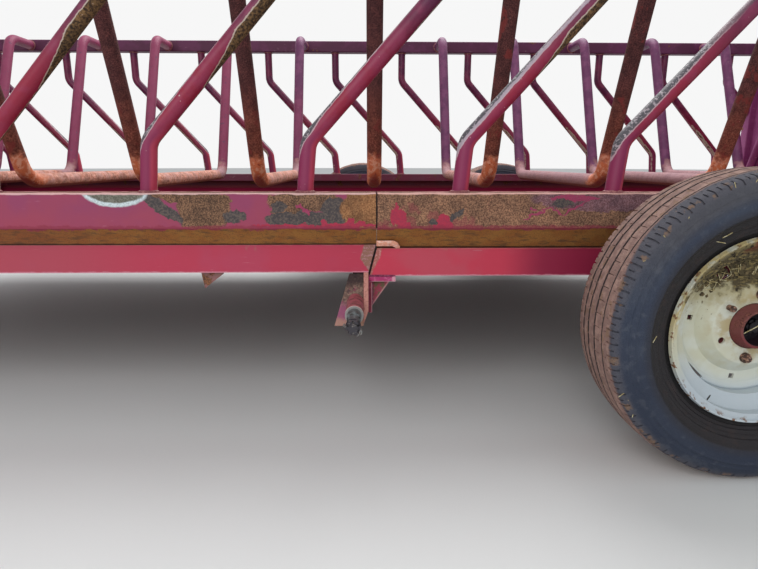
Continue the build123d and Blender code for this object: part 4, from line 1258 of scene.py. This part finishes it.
def make_cotter():
    """The bent split pin through the bare spindle's slotted nut."""
    pin = bmesh.new()
    spot = Vector((FRONT_AXLE, -(WHEEL_Y + 0.0335), AXLE_Z))
    for radius, steps in (
        # thickness, then places from the middle of the pin: along, out, up
        (0.0017, ((-0.0195, 0, 0.002), (-0.006, 0, 0.001), (0.006, 0, -0.001), (0.0185, 0, -0.003))),
        (0.0015, ((0.0185, 0, -0.003), (0.0200, -0.002, -0.009), (0.0175, -0.004, -0.0165))),
        (0.0015, ((0.0170, 0, -0.003), (0.0150, -0.004, -0.012), (0.0090, -0.006, -0.0185))),
        (0.0015, (
            (-0.0195, 0, 0.002), (-0.0225, -0.001, 0.006), (-0.0205, -0.001, 0.010), (-0.0180, 0, 0.006),
        )),
    ):
        add_stalk(pin, [spot + Vector(step) for step in steps], radius, 8)
    place_piece("cotter_pin", pin, "wagon", bare_pin)


set_camera()
set_studio()

paint_magenta = plain_paint("magenta_paint", "A04A64", "AE5A74", 0.56)
paint_violet = plain_paint("violet_top_rail", "541E40", "6A2C56", 0.70)
paint_panel = plain_paint("violet_panel", "8A3C70", "9A5080", 0.64)
paint_underside = plain_paint("magenta_underside", "9A4058", "A8566C", 0.54, dust="7A5E52")
paint_far_sill = plain_paint("far_sill_paint", "762A44", "6E384E", 0.60, "4A302C", "86584A")
paint_tow = plain_paint("tow_end_magenta", "A0465E", "B05C72", 0.58, dust="8A6C60")
weld_metal = wire_finish("weld_bead", "8A5458", "A87270", 0.65)
straw_dry = wire_finish("dry_straw", "B0A070", "DCD2AC", 0.85)
rusty_nut = wire_finish("rusty_nut", "4A3630", "A4806C", 0.6, 0.2)
bare_pin = wire_finish("bare_pin", "8C8C8A", "6A6462", 0.4, 0.5)

finishes = {
    "sill_near_front": sill_finish("sill_face_front", "963C58", SILL_FRONT_SPOTS, "E2B8B4"),
    "sill_near_rear": sill_finish("sill_face_rear", "80604C", SILL_REAR_SPOTS, "E6B4A8"),
    "sill_far_front": paint_far_sill,
    "sill_far_rear": paint_far_sill,
    "sill_end_front": paint_magenta,
    "sill_end_rear": paint_magenta,
    "pan_front": slope_finish(),
    "rail_near_front": rail_finish("rail_front_paint", "B83650", "B23E5A", -1),
    "rail_near_rear": rail_finish("rail_rear_paint", "C43850", "BC4A5C", 1),
    "rail_gussets": plain_paint("gusset_paint", "86625C", "9A6068", 0.5, dust="8A7462"),
    "cross_members_front": paint_underside,
    "cross_members_rear": paint_underside,
    "splice_plates": paint_underside,
    "top_rail_near": paint_violet,
    "top_rail_far": paint_violet,
    "top_rails_end": paint_violet,
    "corner_posts": paint_panel,
    "end_panel_front": paint_panel,
    "end_panel_rear": paint_panel,
    "end_braces": paint_panel,
    "slants_near": slant_finish("slant_paint_near", "8E1C38", "501C40", -1),
    "slants_far": slant_finish("slant_paint_far", "861E3C", "5A1640", 1),
    "hoops_front": hoop_finish("hoop_rust"),
    "axle_legs": leg_finish(),
    "spindles": spindle_finish(),
    "tongue_frame": paint_tow,
    "hitch_clevis": paint_tow,
    "jack_mount": paint_tow,
    "jack_tube": paint_tow,
    "jack_crank": bare_pin,
    "jack_leg": wire_finish("jack_zinc", "8E8E90", "747272", 0.4, 0.6),
}
finishes["pan_rear"] = finishes["pan_front"]
finishes["rail_far_front"] = finishes["rail_near_front"]
finishes["rail_far_rear"] = finishes["rail_near_rear"]
finishes["hoops_rear"] = finishes["hoops_front"]
for wheel in ("near_rear", "far_front", "far_rear"):
    for part, make, title in (
        ("hub", hub_finish, "hub_rust"),
        ("rim", rim_finish, "wheel_cream"),
        ("tyre", tyre_finish, "tyre_rubber"),
    ):
        # The rear wheels stand on one axle line and share their finishes
        if wheel == "far_rear":
            finishes[f"{part}_{wheel}"] = finishes[f"{part}_near_rear"]
        else:
            finishes[f"{part}_{wheel}"] = make(f"{title}_{wheel}", wheel.endswith("front"))
for node, finish in finishes.items():
    mesh = frame["nodes"][node].data
    mesh.materials.clear()
    mesh.materials.append(finish)
    if not node.startswith(("sill", "rail", "pan", "cross", "splice")):
        mesh.shade_smooth()
        mesh.set_sharp_from_angle(angle=math.radians(35))
for wheel in ("near_rear", "far_front", "far_rear"):
    make_tyre(f"tread_{wheel}", f"{wheel}_wheel", f"tyre_{wheel}", finishes[f"tyre_{wheel}"])

# Weld beads at the slant bars' feet and tops, and at the hoops' ends
POST_ROOM = 0.1
for side, far in (("near", -1), ("far", 1)):
    welds = bmesh.new()
    for step in range(-6, 7):
        foot = SEAM_X - far * (SLANT_FIRST - SEAM_X + step * BAR_SPACING)
        for x, z, thickness in (
            (foot, SILL_TOP + 0.0015, 0.0042), (foot - far * BAR_SPACING, RAIL_UNDER - 0.0015, 0.004),
        ):
            if FRONT_END + POST_ROOM < x < REAR_END - POST_ROOM:
                add_ring(welds, (x, far * FRAME_Y, z), (0, 0, 1), SLANT_RADIUS + 0.001, thickness)
    place_piece(f"slant_welds_{side}", welds, "wagon", weld_metal)
    welds = bmesh.new()
    for step in range(-5, 6):
        place = (SEAM_X + step * BAR_SPACING, far * (HOOP_END - 0.0015), TOP_RAIL_Z)
        add_ring(welds, place, (0, 1, 0), HOOP_RADIUS + 0.001, 0.0042)
    place_piece(f"hoop_welds_{side}", welds, "wagon", weld_metal)

make_seam()
make_legs()
make_leg_welds()
make_cotter()
make_tow_trim()
make_frame_trim()

# Wheel nuts: the near wheel has lost one nut and, in another hole, the whole stud
for wheel, angles, bare in (
    ("near_rear_wheel", (24, 84, 264, 324), (144,)),
    ("far_front_wheel", (24, 84, 144, 207, 264, 324), ()),
    ("far_rear_wheel", (24, 84, 144, 207, 264, 324), ()),
):
    nuts = bmesh.new()
    for angle in angles + bare:
        add_wheel_nut(nuts, wheel, angle, nut=angle not in bare)
    place_piece(f"nuts_{wheel}", nuts, wheel, rusty_nut)

# Caked dirt and hay high in the near dish
DISH = "near_rear_wheel"
OUTWARD = Vector((0, -1, 0))
dirt = bmesh.new()
for _ in range(70):
    angle, radius = random.uniform(52, 148), random.uniform(0.108, 0.146)
    add_lump(dirt, on_wheel(DISH, angle, radius, WHEEL_Y + 0.0085), random.uniform(0.0022, 0.0062), OUTWARD)
for _ in range(26):
    angle, radius = random.uniform(50, 150), random.uniform(0.152, 0.162)
    place = on_wheel(DISH, angle, radius, WHEEL_Y + random.uniform(0.016, 0.03))
    add_lump(dirt, place, random.uniform(0.003, 0.006), OUTWARD)
add_lump(dirt, on_wheel(DISH, *HAND_HOLE, WHEEL_Y + 0.0035), 0.0100, OUTWARD)
caked = wire_finish("caked_dirt", "3E3628", "75664A", 0.95)
place_piece("dish_dirt", dirt, DISH, caked)
hay = bmesh.new()
for _ in range(34):
    angle, radius = random.uniform(55, 140), random.uniform(0.112, 0.142)
    start = on_wheel(DISH, angle, radius, WHEEL_Y + 0.0105)
    lean = random.uniform(0, math.tau)
    run = Vector((math.cos(lean), 0, math.sin(lean))) * random.uniform(0.010, 0.024)
    bend = Vector((0, -random.uniform(0.0005, 0.003), 0))
    add_stalk(hay, [start - run / 2, start + bend, start + run / 2], random.uniform(0.0005, 0.0009), 5)
cup = on_wheel(DISH, 0, 0, WHEEL_Y + 0.030)
across = ((-0.031, -0.020, -0.014), (-0.004, -0.022, 0.003), (0.028, -0.020, 0.024))
add_stalk(hay, [cup + Vector(step) for step in across], 0.0011, 5)
for angle, radius, out, lean, length in (
    # round the outside of the tyre: degrees, radius, out, direction, length
    (168, 0.330, 0.1002, 60, 0.030), (150, 0.336, 0.0970, 20, 0.026), (141, 0.334, 0.0980, 130, 0.022),
    (197, 0.335, 0.0975, 100, 0.034), (203, 0.337, 0.0965, 40, 0.040), (208, 0.333, 0.0985, 150, 0.024),
    (212, 0.338, 0.0960, 80, 0.030), (132, 0.331, 0.1000, 75, 0.024), (112, 0.336, 0.0970, 110, 0.034),
    (106, 0.334, 0.0980, 60, 0.028), (100, 0.338, 0.0960, 10, 0.030), (182, 0.262, 0.1010, 65, 0.018),
    (121, 0.255, 0.0980, 30, 0.022), (125, 0.248, 0.0925, 170, 0.026),
):
    start = on_wheel(DISH, angle, radius, WHEEL_Y + out + 0.0012)
    run = Vector((math.cos(math.radians(lean)), 0, math.sin(math.radians(lean)))) * length
    add_stalk(hay, [start - run / 2, start + Vector((0, -0.0006, 0)), start + run / 2], 0.0008, 5)
place_piece("wheel_hay", hay, DISH, straw_dry)
